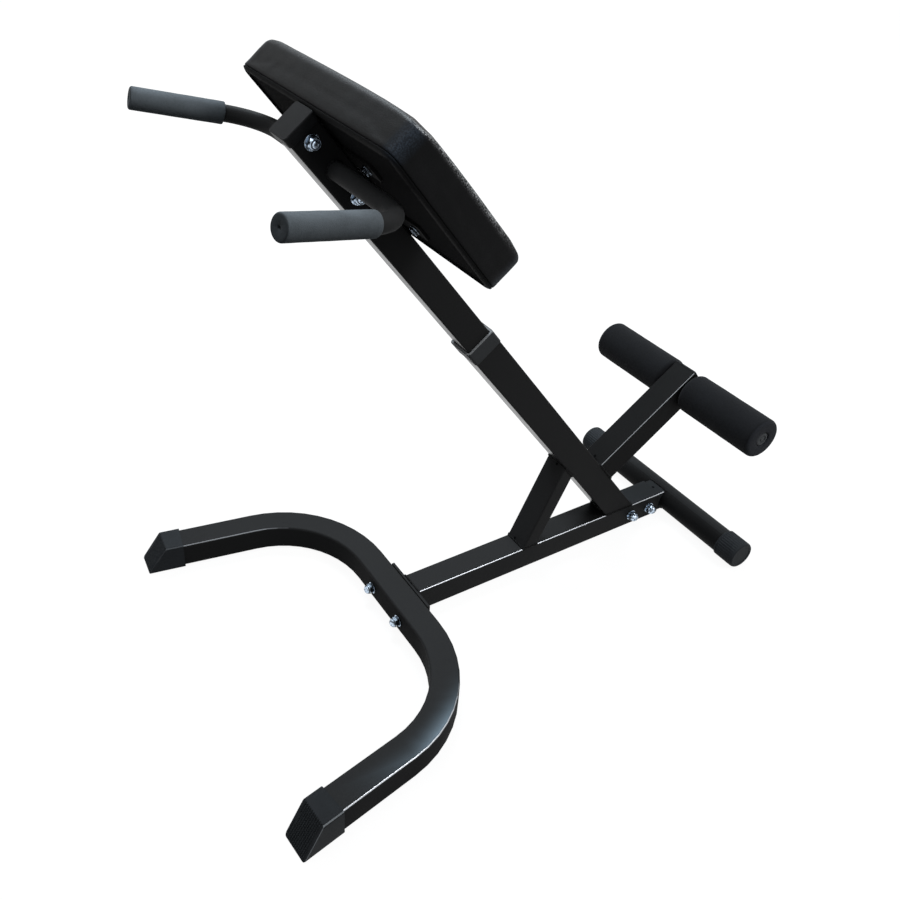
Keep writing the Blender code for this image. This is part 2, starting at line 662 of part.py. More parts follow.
def make_side_bolts(upper):
    """Hexagon bolts from the far side, with washers and locking nuts on the near side."""
    face = INNER_POST_WIDTH / 2 + GAP
    nut_seat = face + M10["washer_thickness"] + GAP
    length = face + nut_seat + M10["nut"] + M10["collar"] + THREAD_PAST_NUT
    for word, drop in zip(("upper", "lower"), SIDE_BOLT_DROPS):
        add("side_bolt_" + word, hex_bolt(M10, length), "zinc", upper, (-face, 0, -drop), TO_RIGHT)
        add("side_washer_" + word, washer(M10), "zinc", upper, (face, 0, -drop), TO_RIGHT)
        add("side_lock_nut_" + word, lock_nut(M10), "zinc", upper, (nut_seat, 0, -drop), TO_RIGHT)


# Height lock

def make_lock(post):
    start = OUTER_POST_WIDTH / 2 + GAP
    end = start + HOUSING_LENGTH
    step = end - HOUSING_END
    radius = HOUSING_DIAMETER / 2
    wide = hole_radius(PIN_COLLAR_DIAMETER, BOLT_SIDES)
    narrow = hole_radius(PIN_DIAMETER, BOLT_SIDES)
    axis = frame("pin_frame", post, (0, 0, LOCK_HEIGHT), TO_LEFT)
    housing = turned_ring([(radius, start), (radius, step), (radius, end - EDGE), (radius - EDGE, end)],
                          [(wide, start), (wide, step), (narrow, step), (narrow, end)], BOLT_SIDES)
    add("pin_housing", housing, "black_paint", axis)
    tip = INNER_POST_WIDTH / 2 - PIN_REACH
    pin = PIN_DIAMETER / 2
    collar = PIN_COLLAR_DIAMETER / 2
    seat = start + GAP
    knob_start = end + KNOB_STANDOFF
    socket_end = knob_start + KNOB_SOCKET
    profile = [(pin - THREAD_CHAMFER, tip), (pin, tip + THREAD_CHAMFER), (pin, seat), (collar, seat),
               (collar, seat + PIN_COLLAR_THICKNESS), (pin, seat + PIN_COLLAR_THICKNESS),
               (pin, socket_end - GAP)]
    add("lock_pin", turned(profile, BOLT_SIDES), "zinc", axis)
    knob = KNOB_DIAMETER / 2
    socket = hole_radius(PIN_DIAMETER, SMALL_SIDES)
    cup = [(socket, socket_end), (socket, knob_start), (knob - KNOB_EDGE, knob_start),
           (knob, knob_start + KNOB_EDGE)]
    cup += rounded_end(knob, knob_start + KNOB_LENGTH, KNOB_EDGE)
    add("pin_knob", turned(cup, SMALL_SIDES), "plastic", axis)


# Roller arm and rollers

def make_arm(arm):
    post_rear = POST_FOOT + POST_BACK * (OUTER_POST_DEPTH / 2 + GAP)
    outlines = tube_outlines(ARM_WIDTH, ARM_DEPTH, POST_CORNER, ARM_WALL)
    mesh = straight_tube(outlines, cut_plane(ARM_FOOT, ARM_TILT, post_rear, POST_BACK), (ARM_REACH, 0))
    tube = add("roller_arm", mesh, "black_paint", arm)
    drill(tube, [Vector((0, ROD_DROP, ROD_REACH))], ROD_DIAMETER, ARM_WIDTH * 2, TO_RIGHT, ROUND_SIDES)
    inset = 2 * (ARM_WALL + GAP)
    insert = rounded_rectangle(ARM_WIDTH - inset, ARM_DEPTH - inset, POST_CORNER / 2)
    flange = rounded_rectangle(ARM_WIDTH, ARM_DEPTH, POST_CORNER)
    rim = rounded_rectangle(ARM_WIDTH - 2 * EDGE, ARM_DEPTH - 2 * EDGE, POST_CORNER - EDGE)
    depth = ROD_SETBACK - ROD_DIAMETER / 2 - ARM_CAP_CLEARANCE
    seat = ARM_REACH + GAP
    end = seat + ARM_CAP_END
    rings = [ring(insert, seat - depth), ring(insert, seat), ring(flange, seat), ring(flange, end - EDGE),
             ring(rim, end)]
    add("roller_arm_cap", loft(rings), "plastic", arm)


def make_rollers(rod_frame):
    radius = ROD_DIAMETER / 2
    bore = radius - ROD_WALL
    rod = turned_ring([(radius, -ROD_END), (radius, ROD_END)], [(bore, -ROD_END), (bore, ROD_END)],
                      ROUND_SIDES)
    add("roller_rod", rod, "black_paint", rod_frame, (0, 0, 0), TO_RIGHT)
    flange = PLUG_DIAMETER / 2
    seat = PLUG_FACE - PLUG_FLANGE
    plug = [(bore - GAP, seat - PLUG_SHANK), (bore - GAP, seat), (flange, seat), (flange, PLUG_FACE - EDGE),
            (flange - EDGE, PLUG_FACE)]
    for word, sign, turn in SIDES:
        add("rod_plug_" + word, turned(plug, SMALL_SIDES), "plastic", rod_frame, (0, 0, 0), turn)
        add("foam_roller_" + word, roller(), "foam", rod_frame, (0, 0, 0), turn)


def roller():
    """A foam sleeve with soft ends, recessed at its outer end for the rod's plug."""
    bore = ROD_DIAMETER / 2 + ROLLER_CLEARANCE
    recess = PLUG_DIAMETER / 2 + PLUG_CLEARANCE
    end = ROLLER_START + ROLLER_LENGTH
    floor = PLUG_FACE - PLUG_FLANGE - ROLLER_CLEARANCE
    outer_end = rounded_end(ROLLER_RADIUS, end, ROLLER_EDGE)
    inner_end = [(radius, ROLLER_START + end - height) for radius, height in reversed(outer_end)]
    inner = [(bore, ROLLER_START), (bore, floor), (recess, floor), (recess, end)]
    return turned_ring(inner_end + outer_end, inner, ROUND_SIDES)


# Handlebar and grips, placed level with the floor from the handle's middle on the inner post's axis

def handle_station(turn, reach, sign):
    """A place on one of the bends, or on the straight after it where the reach is above zero."""
    across = Vector((sign, 0, 0))
    ahead = Vector((0, -math.cos(HANDLE_RISE), math.sin(HANDLE_RISE)))
    up = Vector((0, math.sin(HANDLE_RISE), math.cos(HANDLE_RISE)))
    forward = across * math.cos(turn) + ahead * math.sin(turn)
    side = across * math.sin(turn) - ahead * math.cos(turn)
    centre = across * (HANDLE_STRAIGHT / 2) + ahead * HANDLE_BEND_RADIUS
    return (centre + side * HANDLE_BEND_RADIUS + forward * reach, side, up, Vector((0, 0, 0)))


def make_handlebar(handle):
    end_turn = math.pi / 2 - HANDLE_SPREAD
    half = [handle_station(end_turn * step / BEND_STEPS, 0, 1) for step in range(BEND_STEPS + 1)]
    half.append(handle_station(end_turn, GRIP_LENGTH - GRIP_END - GAP, 1))
    stations = both_halves(half)
    outer = swept(circle(HANDLE_DIAMETER / 2, HANDLE_SIDES), stations)
    inner = swept(circle(HANDLE_DIAMETER / 2 - HANDLE_WALL, HANDLE_SIDES), stations)
    add("handlebar", hollow(outer, inner), "black_paint", handle)
    for word, sign, turn in SIDES:
        make_grip("handle_grip_" + word, handle, sign, end_turn)


def make_grip(name, handle, sign, turn):
    """A foam grip with a rounded, closed end and a small air hole in it."""
    bore = HANDLE_DIAMETER / 2 + GAP
    radius = GRIP_DIAMETER / 2
    hole = GRIP_HOLE_DIAMETER / 2
    seat = GRIP_LENGTH - GRIP_END
    outer = [(radius - GRIP_EDGE / 2, GAP), (radius, GAP + GRIP_EDGE / 2)]
    outer += rounded_end(radius, GRIP_LENGTH, GRIP_EDGE)
    inner = [(bore, GAP), (bore, seat), (hole, seat), (hole, GRIP_LENGTH)]
    rings = [grip_rings(profile, sign, turn) for profile in (outer, inner)]
    add(name, hollow(*rings), "grip_foam", handle)


def grip_rings(profile, sign, turn):
    rings = []
    for radius, reach in profile:
        rings += swept(circle(radius, HANDLE_SIDES), [handle_station(turn, reach, sign)])
    return rings


# Hip pad

def make_brackets(upper):
    outline = rounded_rectangle(BRACKET_LENGTH, BRACKET_BAR, POST_CORNER)
    half = PAD_BOLT_SPACING / 2
    seat = BRACKET_BACK - GAP
    length = PAD_BACK - seat + PAD_BOLT_BITE
    for word, drop in zip(("upper", "lower"), BRACKET_DROPS):
        mesh = loft([ring(outline, 0), ring(outline, BRACKET_THICKNESS)])
        bar = add("pad_bracket_" + word, mesh, "black_paint", upper, (0, BRACKET_BACK, -drop), TO_REAR)
        drill(bar, [Vector((-half, 0, 0)), Vector((half, 0, 0))], M8["thread"], BRACKET_THICKNESS * 4)
        for side, sign, turn in SIDES:
            add("pad_bolt_" + word + "_" + side, flange_bolt(M8, length), "zinc", upper,
                (sign * half, seat, -drop), TO_REAR)


def make_pad(upper):
    """The cushion, and the board in a pocket in its underside."""
    width = PAD_WIDTH - 2 * BOARD_MARGIN
    length = PAD_LENGTH - 2 * BOARD_MARGIN
    outline = rounded_rectangle(width, length, PAD_CORNER - BOARD_MARGIN)
    board = add("pad_board", loft([ring(outline, 0), ring(outline, BOARD_THICKNESS)]), "board", upper,
                (0, PAD_BACK, PAD_CENTRE), TO_REAR)
    holes = [Vector((sign * PAD_BOLT_SPACING / 2, PAD_CENTRE + drop, 0))
             for drop in BRACKET_DROPS for side, sign, turn in SIDES]
    drill(board, holes, M8["thread"], 2 * (PAD_BOLT_BITE + GAP))
    pocket = pad_outline(BOARD_MARGIN - GAP)
    rings = [ring(pocket, BOARD_THICKNESS + GAP), ring(pocket, 0)] + pad_side_rings() + pad_crown_rings()
    add("pad_cushion", loft(rings), "vinyl", upper, (0, PAD_BACK, PAD_CENTRE), TO_REAR)


def pad_outline(inset):
    return rounded_rectangle(PAD_WIDTH - 2 * inset, PAD_LENGTH - 2 * inset, PAD_CORNER - inset,
                             PAD_CORNER_STEPS)


def pad_side_rings():
    """From the underside's rim up the drawn-in side and round the top edge."""
    shoulder = PAD_THICKNESS - PAD_CROWN
    belly = shoulder - PAD_EDGE
    profile = [(PAD_DRAW * 2, 0), (PAD_DRAW, PAD_DRAW), (PAD_DRAW / 3, belly / 2)]
    profile += [(-radius, height) for radius, height in rounded_end(0, shoulder, PAD_EDGE)]
    return [ring(pad_outline(inset), height) for inset, height in profile]


def pad_crown_rings():
    """The low dome of the top, its outlines rounder towards the middle."""
    rings = []
    for step in range(1, PAD_CROWN_STEPS):
        share = step / PAD_CROWN_STEPS
        width = (PAD_WIDTH - 2 * PAD_EDGE) * (1 - share)
        length = (PAD_LENGTH - 2 * PAD_EDGE) * (1 - share)
        corner = (PAD_CORNER - PAD_EDGE) * (1 - share) + length / 2 * share
        height = PAD_THICKNESS - PAD_CROWN * (1 - share) ** 2
        rings.append(ring(rounded_rectangle(width, length, corner, PAD_CORNER_STEPS), height))
    return rings


def centre_origin():
    """Moves all pieces so that the floor under the middle of the bench is the origin."""
    foot_front = min(point.y for point in foot_cap_rings(1)[-1])
    foot_rear = REAR_FOOT_Y + REAR_FOOT_RADIUS + FLOOR_CLEARANCE
    for piece in bpy.data.objects:
        if piece.parent is None:
            piece.location.y -= (foot_front + foot_rear) / 2


def main():
    for piece in list(bpy.data.objects):
        bpy.data.objects.remove(piece)
    make_base()
    make_beam()
    make_stub()
    make_rear_foot()
    post = frame("post_frame", None, POST_FOOT, (POST_TILT, 0, 0))
    make_outer_post(post)
    make_sleeve(post)
    make_lock(post)
    make_strut()
    arm = frame("arm_frame", None, ARM_FOOT, (ARM_TILT, 0, 0))
    make_arm(arm)
    make_rollers(frame("rod_frame", arm, (0, ROD_DROP, ROD_REACH)))
    upper = frame("upper_frame", post, (0, 0, INNER_POST_TOP))
    make_inner_post(upper)
    make_top_cap(upper)
    make_side_bolts(upper)
    make_handlebar(frame("handle_frame", upper, (0, 0, -HANDLE_DROP), (-POST_TILT, 0, 0)))
    make_brackets(upper)
    make_pad(upper)
    centre_origin()


main()
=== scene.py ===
"""Hyperextension bench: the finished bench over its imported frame, with its stage, lamps and camera."""

import json
import math

import bmesh
import bpy
from bpy.props import FloatProperty, FloatVectorProperty, IntProperty, PointerProperty
from mathutils import Matrix, Vector, noise

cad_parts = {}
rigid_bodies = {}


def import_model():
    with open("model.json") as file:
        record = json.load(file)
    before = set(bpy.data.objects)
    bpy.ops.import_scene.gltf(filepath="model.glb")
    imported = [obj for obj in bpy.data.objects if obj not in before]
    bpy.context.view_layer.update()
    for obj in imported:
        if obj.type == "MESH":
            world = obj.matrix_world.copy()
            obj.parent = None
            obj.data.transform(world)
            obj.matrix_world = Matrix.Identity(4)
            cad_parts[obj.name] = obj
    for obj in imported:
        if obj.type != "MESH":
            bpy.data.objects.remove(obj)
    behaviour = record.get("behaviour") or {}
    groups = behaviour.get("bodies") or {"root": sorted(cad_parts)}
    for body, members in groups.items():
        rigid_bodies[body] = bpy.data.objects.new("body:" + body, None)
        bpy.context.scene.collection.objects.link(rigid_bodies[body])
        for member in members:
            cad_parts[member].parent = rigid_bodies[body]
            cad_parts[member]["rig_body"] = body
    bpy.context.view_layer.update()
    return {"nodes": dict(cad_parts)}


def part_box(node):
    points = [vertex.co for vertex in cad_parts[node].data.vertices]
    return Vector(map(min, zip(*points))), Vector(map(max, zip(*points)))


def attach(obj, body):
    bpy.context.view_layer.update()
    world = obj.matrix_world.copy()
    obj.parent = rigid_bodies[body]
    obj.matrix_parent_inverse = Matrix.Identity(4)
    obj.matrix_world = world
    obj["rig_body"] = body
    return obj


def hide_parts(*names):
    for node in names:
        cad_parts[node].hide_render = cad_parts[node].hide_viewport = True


bl_info = {
    "name": "Hyperextension Bench",
    "version": (1, 0, 0),
    "blender": (4, 5, 0),
    "location": "View3D > Sidebar > Bench",
    "description": "Finishes a hyperextension bench: paint, welds, rubber caps, foam, upholstery and stage",
    "category": "Object",
}

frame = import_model()
CAD = frame["nodes"]


def middle(node):
    """The middle of a solid's box, on the bench's plane of symmetry."""
    low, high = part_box(node)
    return Vector((0, (low.y + high.y) / 2, (low.z + high.z) / 2))


def span(node):
    """How far a turned piece's two ends are from the plane of symmetry, and its radius."""
    low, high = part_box(node)
    inner, outer = sorted((abs(low.x), abs(high.x)))
    return inner, outer, (high.y - low.y) / 2


# Places on the frame, in metres: those not read from its solids are distances from them
BEAM_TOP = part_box("main_beam")[1].z
BEAM_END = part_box("main_beam")[1].y
POST_FOOT = Vector((0, BEAM_END - 0.1092, BEAM_TOP))
POST = Matrix.Translation(POST_FOOT) @ Matrix.Rotation(math.radians(37.5), 4, "X")
POST_TOP = 1.131
POST_SIDE, POST_FACE = 0.025, 0.027
INNER_SIDE, INNER_FACE = 0.0223, 0.0243
BRACKET_DROP = {"upper": 0.083, "lower": 0.205}
BRACKET_HALF_WIDTH, BRACKET_HALF_HEIGHT = 0.018, 0.0154
HANDLE = POST @ Vector((0, 0, 1.0505))
HANDLE_RISE = math.radians(14.7)
HANDLE_TURN = math.radians(90 - 11.4)
HANDLE_REACH, HANDLE_BEND = 0.151, 0.070
PAD = POST @ Matrix.Translation((0, 0.0286, 1.0035)) @ Matrix.Rotation(math.radians(-90), 4, "X")
PAD_SIZE = (0.420, 0.270, 0.062)
ROD = middle("roller_rod")
REAR_FOOT = middle("rear_foot_tube")
REAR_FOOT_RADIUS = 0.025
SIDES = (("near", 1), ("far", -1))

PAINTED = ("u_base_tube", "beam_front_plate", "main_beam", "rear_stub", "rear_foot_tube", "outer_post",
           "pin_housing", "support_strut", "roller_arm", "roller_rod", "inner_post", "handlebar",
           "pad_bracket_upper", "pad_bracket_lower")
ZINC = tuple(name for name in CAD if "bolt" in name or "washer" in name or "nut" in name) + ("lock_pin",)


# Settings

def length(name, default, description, low=0.0, high=1.0):
    return FloatProperty(name=name, description=description, default=default, min=low, max=high,
                         unit="LENGTH", precision=4)


def colour(name, default, description):
    return FloatVectorProperty(name=name, description=description, default=default, size=3, min=0, max=1,
                               subtype="COLOR")


class BenchColours(bpy.types.PropertyGroup):
    paint: colour("Powder coat", (0.0165, 0.0169, 0.0174), "Black powder coat on the steel tubes")
    rubber: colour("Rubber", (0.0075, 0.0084, 0.0094), "Foot caps")
    plastic: colour("Plastic", (0.0085, 0.0090, 0.0098), "Top cap, sleeve, plugs and knob")
    roller_foam: colour("Roller foam", (0.0046, 0.0051, 0.0062), "Leg rollers")
    grip_foam: colour("Grip foam", (0.072, 0.083, 0.092), "Handlebar grips")
    vinyl: colour("Vinyl", (0.0040, 0.0042, 0.0046), "Cover of the hip pad")
    backing: colour("Backing", (0.0080, 0.0080, 0.0083), "Cloth under the hip pad's board")
    zinc: colour("Zinc", (0.30, 0.36, 0.43), "Bolts, nuts and washers")


class BenchSizes(bpy.types.PropertyGroup):
    weld: length("Weld", 0.0021, "Radius of the weld beads", 0.0005, 0.004)
    edge: length("Steel edge", 0.0004, "Softened edge of cut steel", 0.0001, 0.001)
    tread_pitch: length("Tread pitch", 0.0042, "From stud to stud on the foot caps' ends", 0.002, 0.01)
    rib_count: IntProperty(name="Ribs", description="Ribs round a rear foot cap", default=36, min=12, max=72)
    roller_diameter: length("Roller", 0.0779, "Diameter of a leg roller", 0.06, 0.0779)
    grip_diameter: length("Grip", 0.0325, "Diameter of a foam grip", 0.028, 0.0326)
    pad_swell: length("Pad swell", 0.006, "How far the filling may push the cover out", 0.0, 0.01)
    pad_rim: length("Pad rim", 0.0100, "Cover folded under the pad, from its side to the slit", 0.004, 0.0115)


class BenchStage(bpy.types.PropertyGroup):
    lens: FloatProperty(name="Lens", description="Focal length", default=38.63, min=10, max=200,
                        unit="CAMERA")
    key: FloatProperty(name="Key lamp", description="Brightness of the large lamp behind", default=1.0,
                       min=0, max=10, subtype="FACTOR")
    sky: FloatProperty(name="Sky", description="Light from all round", default=0.26, min=0, max=2,
                       subtype="FACTOR")


# Materials

class Field:
    """One output of a material's nodes, which takes part in sums and adds the Math nodes for them."""

    def __init__(self, finish, socket):
        self.finish = finish
        self.socket = socket

    def maths(self, operation, *terms):
        return self.finish.make("ShaderNodeMath", dict(enumerate(terms)), operation=operation)

    def __add__(self, other):
        return self.maths("ADD", self, other)

    __radd__ = __add__

    def __sub__(self, other):
        return self.maths("SUBTRACT", self, other)

    def __rsub__(self, other):
        return self.maths("SUBTRACT", other, self)

    def __mul__(self, other):
        return self.maths("MULTIPLY", self, other)

    __rmul__ = __mul__

    def between(self, low, high):
        """0 below low, 1 above high and a smooth step from one to the other."""
        return self.finish.make("ShaderNodeMapRange", {"Value": self, "From Min": low, "From Max": high},
                                interpolation_type="SMOOTHSTEP")


class Finish:
    """A procedural material under construction."""

    def __init__(self, name, world=None):
        self.material = world or bpy.data.materials.new(name)
        self.material.use_nodes = True
        self.tree = self.material.node_tree
        self.tree.nodes.clear()
        self.place = self.make("ShaderNodeTexCoord", output="Object")

    def make(self, kind, sockets=None, output=0, **settings):
        """Adds a node with its settings and sockets, and gives one of its outputs."""
        node = self.tree.nodes.new(kind)
        for key, value in settings.items():
            setattr(node, key, value)
        for key, value in (sockets or {}).items():
            if isinstance(value, Field):
                self.tree.links.new(value.socket, node.inputs[key])
            else:
                node.inputs[key].default_value = value
        return Field(self, node.outputs[output]) if node.outputs else None

    def grain(self, size, detail, roughness):
        return self.make("ShaderNodeTexNoise", {"Vector": self.place, "Scale": 1 / size, "Detail": detail,
                                                "Roughness": roughness})

    def cells(self, size, feature="F1"):
        return self.make("ShaderNodeTexVoronoi", {"Vector": self.place, "Scale": 1 / size}, "Distance",
                         feature=feature)

    def mark(self, name):
        """What was noted on the piece's mesh under a name."""
        return self.make("ShaderNodeAttribute", output="Fac", attribute_name=name)

    # Painted light: how much a piece is tinted lighter, in place of light and reflections on it
    def painted_light(self):
        light_mark = self.mark("painted_light")
        return light_mark * light_mark * light_mark

    def tint(self, factor, first, second):
        return self.make("ShaderNodeMix", {0: factor, 6: self.rgba(first), 7: self.rgba(second)}, 2,
                         data_type="RGBA")

    def shades(self, factor, tone, dark, light):
        """A tone that goes from a darker shade of it to a lighter one."""
        return self.tint(factor, lighter(tone, dark), lighter(tone, light))

    @staticmethod
    def rgba(value):
        return value if isinstance(value, Field) else (*value[:3], 1.0)

    def relief(self, height, depth):
        return self.make("ShaderNodeBump", {"Height": height, "Strength": 1.0, "Distance": depth})

    def surface(self, base, rough, gloss, normal, **others):
        """The material, ended with a shader that has these values."""
        sockets = {"Base Color": base, "Roughness": rough, "Specular IOR Level": gloss, "Normal": normal}
        sockets.update((key.replace("_", " "), value) for key, value in others.items())
        self.make("ShaderNodeOutputMaterial", {"Surface": self.make("ShaderNodeBsdfPrincipled", sockets)})
        return self.material


def clamp(value):
    return min(1.0, max(0.0, value))


def lighter(value, factor):
    return tuple(min(1.0, channel * factor) for channel in value)


def powder_coat(paint):
    finish = Finish("black_powder_coat")
    peel = finish.grain(0.0016, 3.0, 0.55)
    cloud = finish.grain(0.09, 3.0, 0.6)
    specks = finish.grain(0.0009, 2.0, 0.6).between(0.62, 0.8)
    edge_highlight = finish.mark("edge_highlight")
    base = finish.shades(cloud.between(0.3, 0.7), paint, 0.9, 1.1)
    base = finish.tint(specks * 0.5, base, lighter(paint, 1.8))
    # Painted light: a bluish-grey tint in place of reflected light
    base = finish.tint(finish.painted_light(), base, (0.14, 0.185, 0.22))
    # Painted shade: a darker tint where shade falls
    base = finish.tint(finish.mark("painted_shade"), base, lighter(paint, 0.25))
    # Painted highlight: light, metallic, smoother steel along upper edges, in place of lamp light on them
    base = finish.tint(edge_highlight, base, (0.46, 0.48, 0.51))
    rough = 0.56 + 0.10 * cloud.between(0.25, 0.75) - 0.24 * edge_highlight - 0.38 * finish.mark("smooth")
    return finish.surface(base, rough, 0.05, finish.relief(peel * (1 - edge_highlight), 0.00004), Metallic=0.85 * edge_highlight)


def weld_metal(paint):
    finish = Finish("painted_weld")
    lumps = finish.grain(0.0022, 4.0, 0.6)
    base = finish.shades(lumps.between(0.42, 0.6), paint, 0.12, 1.05)
    return finish.surface(base, 0.36 + 0.15 * lumps, 0.03, finish.relief(lumps, 0.00025))


def cap_rubber(rubber):
    finish = Finish("cap_rubber")
    cloud = finish.grain(0.03, 4.0, 0.6)
    fine = finish.grain(0.0008, 2.0, 0.6)
    dust = finish.grain(0.012, 5.0, 0.7).between(0.55, 0.75)
    base = finish.shades(cloud.between(0.3, 0.7), rubber, 0.8, 1.25)
    base = finish.tint(dust * 0.25, base, lighter(rubber, 3))
    # Painted light: a lighter grey tint in place of light on the cap
    base = finish.tint(finish.painted_light(), base, (0.13, 0.15, 0.17))
    # Painted highlight along the cap's upper edges
    base = finish.tint(finish.mark("edge_highlight") * 0.9, base, (0.16, 0.17, 0.18))
    return finish.surface(base, 0.50 + 0.14 * cloud, 0.06, finish.relief(fine, 0.00006))


def tread_groove_shade(rubber):
    finish = Finish("tread_groove_shade")
    dirt_and_shade = finish.grain(0.0015, 4.0, 0.7)
    # Painted shade: the grooves are tinted far darker than the rubber, with patches of dirt
    base = finish.shades(dirt_and_shade.between(0.4, 0.7), rubber, 0.12, 0.4)
    return finish.surface(base, 0.9, 0.03, finish.relief(dirt_and_shade, 0.0001))


def moulded_plastic(plastic):
    finish = Finish("moulded_plastic")
    cloud = finish.grain(0.02, 3.0, 0.6)
    fine = finish.cells(0.0007)
    base = finish.shades(cloud.between(0.3, 0.7), plastic, 0.85, 1.15)
    # Painted light: a lighter grey tint in place of light on the part
    base = finish.tint(finish.painted_light(), base, (0.13, 0.14, 0.15))
    # Painted highlight along upper edges and the sleeve's rim
    base = finish.tint(finish.mark("edge_highlight") * 0.8, base, (0.30, 0.31, 0.32))
    return finish.surface(base, 0.40 + 0.12 * cloud, 0.06, finish.relief(fine, 0.00003))


def open_foam(name, foam, pore, speck, depth, end):
    """Foam with pores of one size, light specks on its skin, and cut ends lighter or darker by a factor."""
    finish = Finish(name)
    pores = finish.cells(pore)
    skin = finish.grain(pore * 2.5, 4.0, 0.7)
    cloud = finish.grain(0.04, 3.0, 0.55)
    specks = finish.cells(pore * 2.2).between(0.03, 0.16)
    base = finish.shades(cloud.between(0.3, 0.7), foam, 0.82, 1.15)
    base = finish.tint(skin.between(0.40, 0.72) * 0.6, base, lighter(foam, speck))
    base = finish.tint((1 - specks) * 0.8, base, lighter(foam, 0.3))
    base = finish.tint(finish.mark("cut"), base, finish.shades(skin, foam, end * 0.7, end * 1.3))
    return finish.surface(base, 0.9 + 0.08 * cloud, 0.12, finish.relief(skin * 0.6 + pores * 0.6, depth),
                          Sheen_Weight=0.03, Sheen_Roughness=0.5)


def grained_vinyl(vinyl):
    finish = Finish("grained_vinyl")
    wander = finish.grain(0.006, 2.0, 0.5)
    pebbles = finish.cells(0.0017, "SMOOTH_F1")
    creases = finish.cells(0.0030, "DISTANCE_TO_EDGE").between(0.0, 0.12)
    fine = finish.grain(0.0006, 2.0, 0.6)
    cloud = finish.grain(0.05, 4.0, 0.6)
    raised = 1 - pebbles.between(0.20, 0.62)
    # Painted highlight: light glints on the raised grain along the rim
    rim_glint = finish.grain(0.013, 3.0, 0.6).between(0.22, 0.50) * raised * creases
    seam_shade = finish.mark("seam_shade")
    base = finish.shades(cloud.between(0.3, 0.7), vinyl, 0.85, 1.2)
    base = finish.tint((1 - creases) * 0.5, base, lighter(vinyl, 0.5))
    # Painted sheen: a bluish light tint round the pad's corners, stronger on the raised grain
    base = finish.tint(finish.mark("corner_sheen") * (0.4 + 0.6 * raised), base, (0.030, 0.039, 0.052))
    base = finish.tint(finish.mark("rim") * rim_glint, base, (0.42, 0.43, 0.44))
    # Painted shade in the seam's groove and on the lip below it
    base = finish.tint(seam_shade, base, lighter(vinyl, 0.05))
    rough = 0.36 + 0.10 * cloud + 0.10 * (1 - creases) + 0.5 * seam_shade
    height = creases * 0.5 + (1 - pebbles) * 0.6 + fine * 0.12 + wander * 0.3
    return finish.surface(base, rough, 0.055, finish.relief(height, 0.00010))


def backing_cloth(backing):
    finish = Finish("backing_cloth")
    fibres = finish.grain(0.0009, 5.0, 0.7)
    base = finish.shades(fibres.between(0.35, 0.7), backing, 0.7, 1.8)
    return finish.surface(base, 0.9, 0.01, finish.relief(fibres, 0.0002))


def zinc_plate(zinc):
    finish = Finish("zinc_plate")
    cloud = finish.grain(0.0045, 2.0, 0.5)
    tool = finish.grain(0.0009, 3.0, 0.6)
    # Painted reflections: the plating goes from dark to light in patches, in place of what it mirrors
    base = finish.shades(cloud.between(0.40, 0.56), zinc, 0.35, 2.0)
    # Painted shade on the fasteners' sides
    base = finish.tint(finish.mark("flank_shade") * 0.92, base, lighter(zinc, 0.08))
    rough = 0.20 + 0.16 * cloud.between(0.3, 0.75)
    return finish.surface(base, rough, 0.5, finish.relief(tool, 0.00003), Metallic=1.0)


def nylon_ring():
    finish = Finish("nylon_ring")
    cloud = finish.grain(0.002, 3.0, 0.6)
    base = finish.tint(cloud.between(0.3, 0.7), (0.03, 0.04, 0.06), (0.06, 0.08, 0.11))
    return finish.surface(base, 0.42, 0.5, finish.relief(cloud, 0.00003))


FINISHES = {}


def finishes():
    """All materials of the bench, made once."""
    if not FINISHES:
        colours = bpy.context.scene.bench_colours
        FINISHES.update(
            paint=powder_coat(colours.paint), weld=weld_metal(colours.paint),
            rubber=cap_rubber(colours.rubber), groove=tread_groove_shade(colours.rubber),
            plastic=moulded_plastic(colours.plastic),
            roller_foam=open_foam("roller_foam", colours.roller_foam, 0.0010, 1.7, 0.0004, 4.0),
            grip_foam=open_foam("grip_foam", colours.grip_foam, 0.0011, 1.25, 0.0003, 0.5),
            vinyl=grained_vinyl(colours.vinyl), backing=backing_cloth(colours.backing),
            zinc=zinc_plate(colours.zinc), nylon=nylon_ring())
    return FINISHES


# Making pieces

def as_mesh(name, bm):
    mesh = bpy.data.meshes.new(name)
    bm.to_mesh(mesh)
    bm.free()
    return mesh


def placed(name, data):
    """A new object in the scene."""
    made = bpy.data.objects.new(name, data)
    bpy.context.scene.collection.objects.link(made)
    return made


def finished(name, bm, body, finish, nodes=(), sharp=40):
    """Makes a piece of the bench from a bmesh, with its finish, the body it rides on and what it replaces."""
    mesh = as_mesh(name, bm)
    own_normals = mesh.attributes.get("custom_normal")
    if own_normals:
        mesh.attributes.remove(own_normals)
    mesh.materials.clear()
    for made in finish if isinstance(finish, (list, tuple)) else (finish,):
        mesh.materials.append(finishes()[made])
    mesh.shade_smooth()
    mesh.set_sharp_from_angle(angle=math.radians(sharp))
    piece = placed(name, mesh)
    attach(piece, body)
    if nodes:
        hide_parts(*nodes)
    return piece


def merged(node, whole=True):
    """A solid's own mesh with its triangles joined up and, if whole, its flat faces too."""
    bm = bmesh.new()
    bm.from_mesh(CAD[node].data)
    bmesh.ops.remove_doubles(bm, verts=bm.verts, dist=0.00002)
    if whole:
        bmesh.ops.dissolve_limit(bm, angle_limit=math.radians(0.5), verts=bm.verts, edges=bm.edges)
    for face in bm.faces:
        face.material_index = 0
    return bm


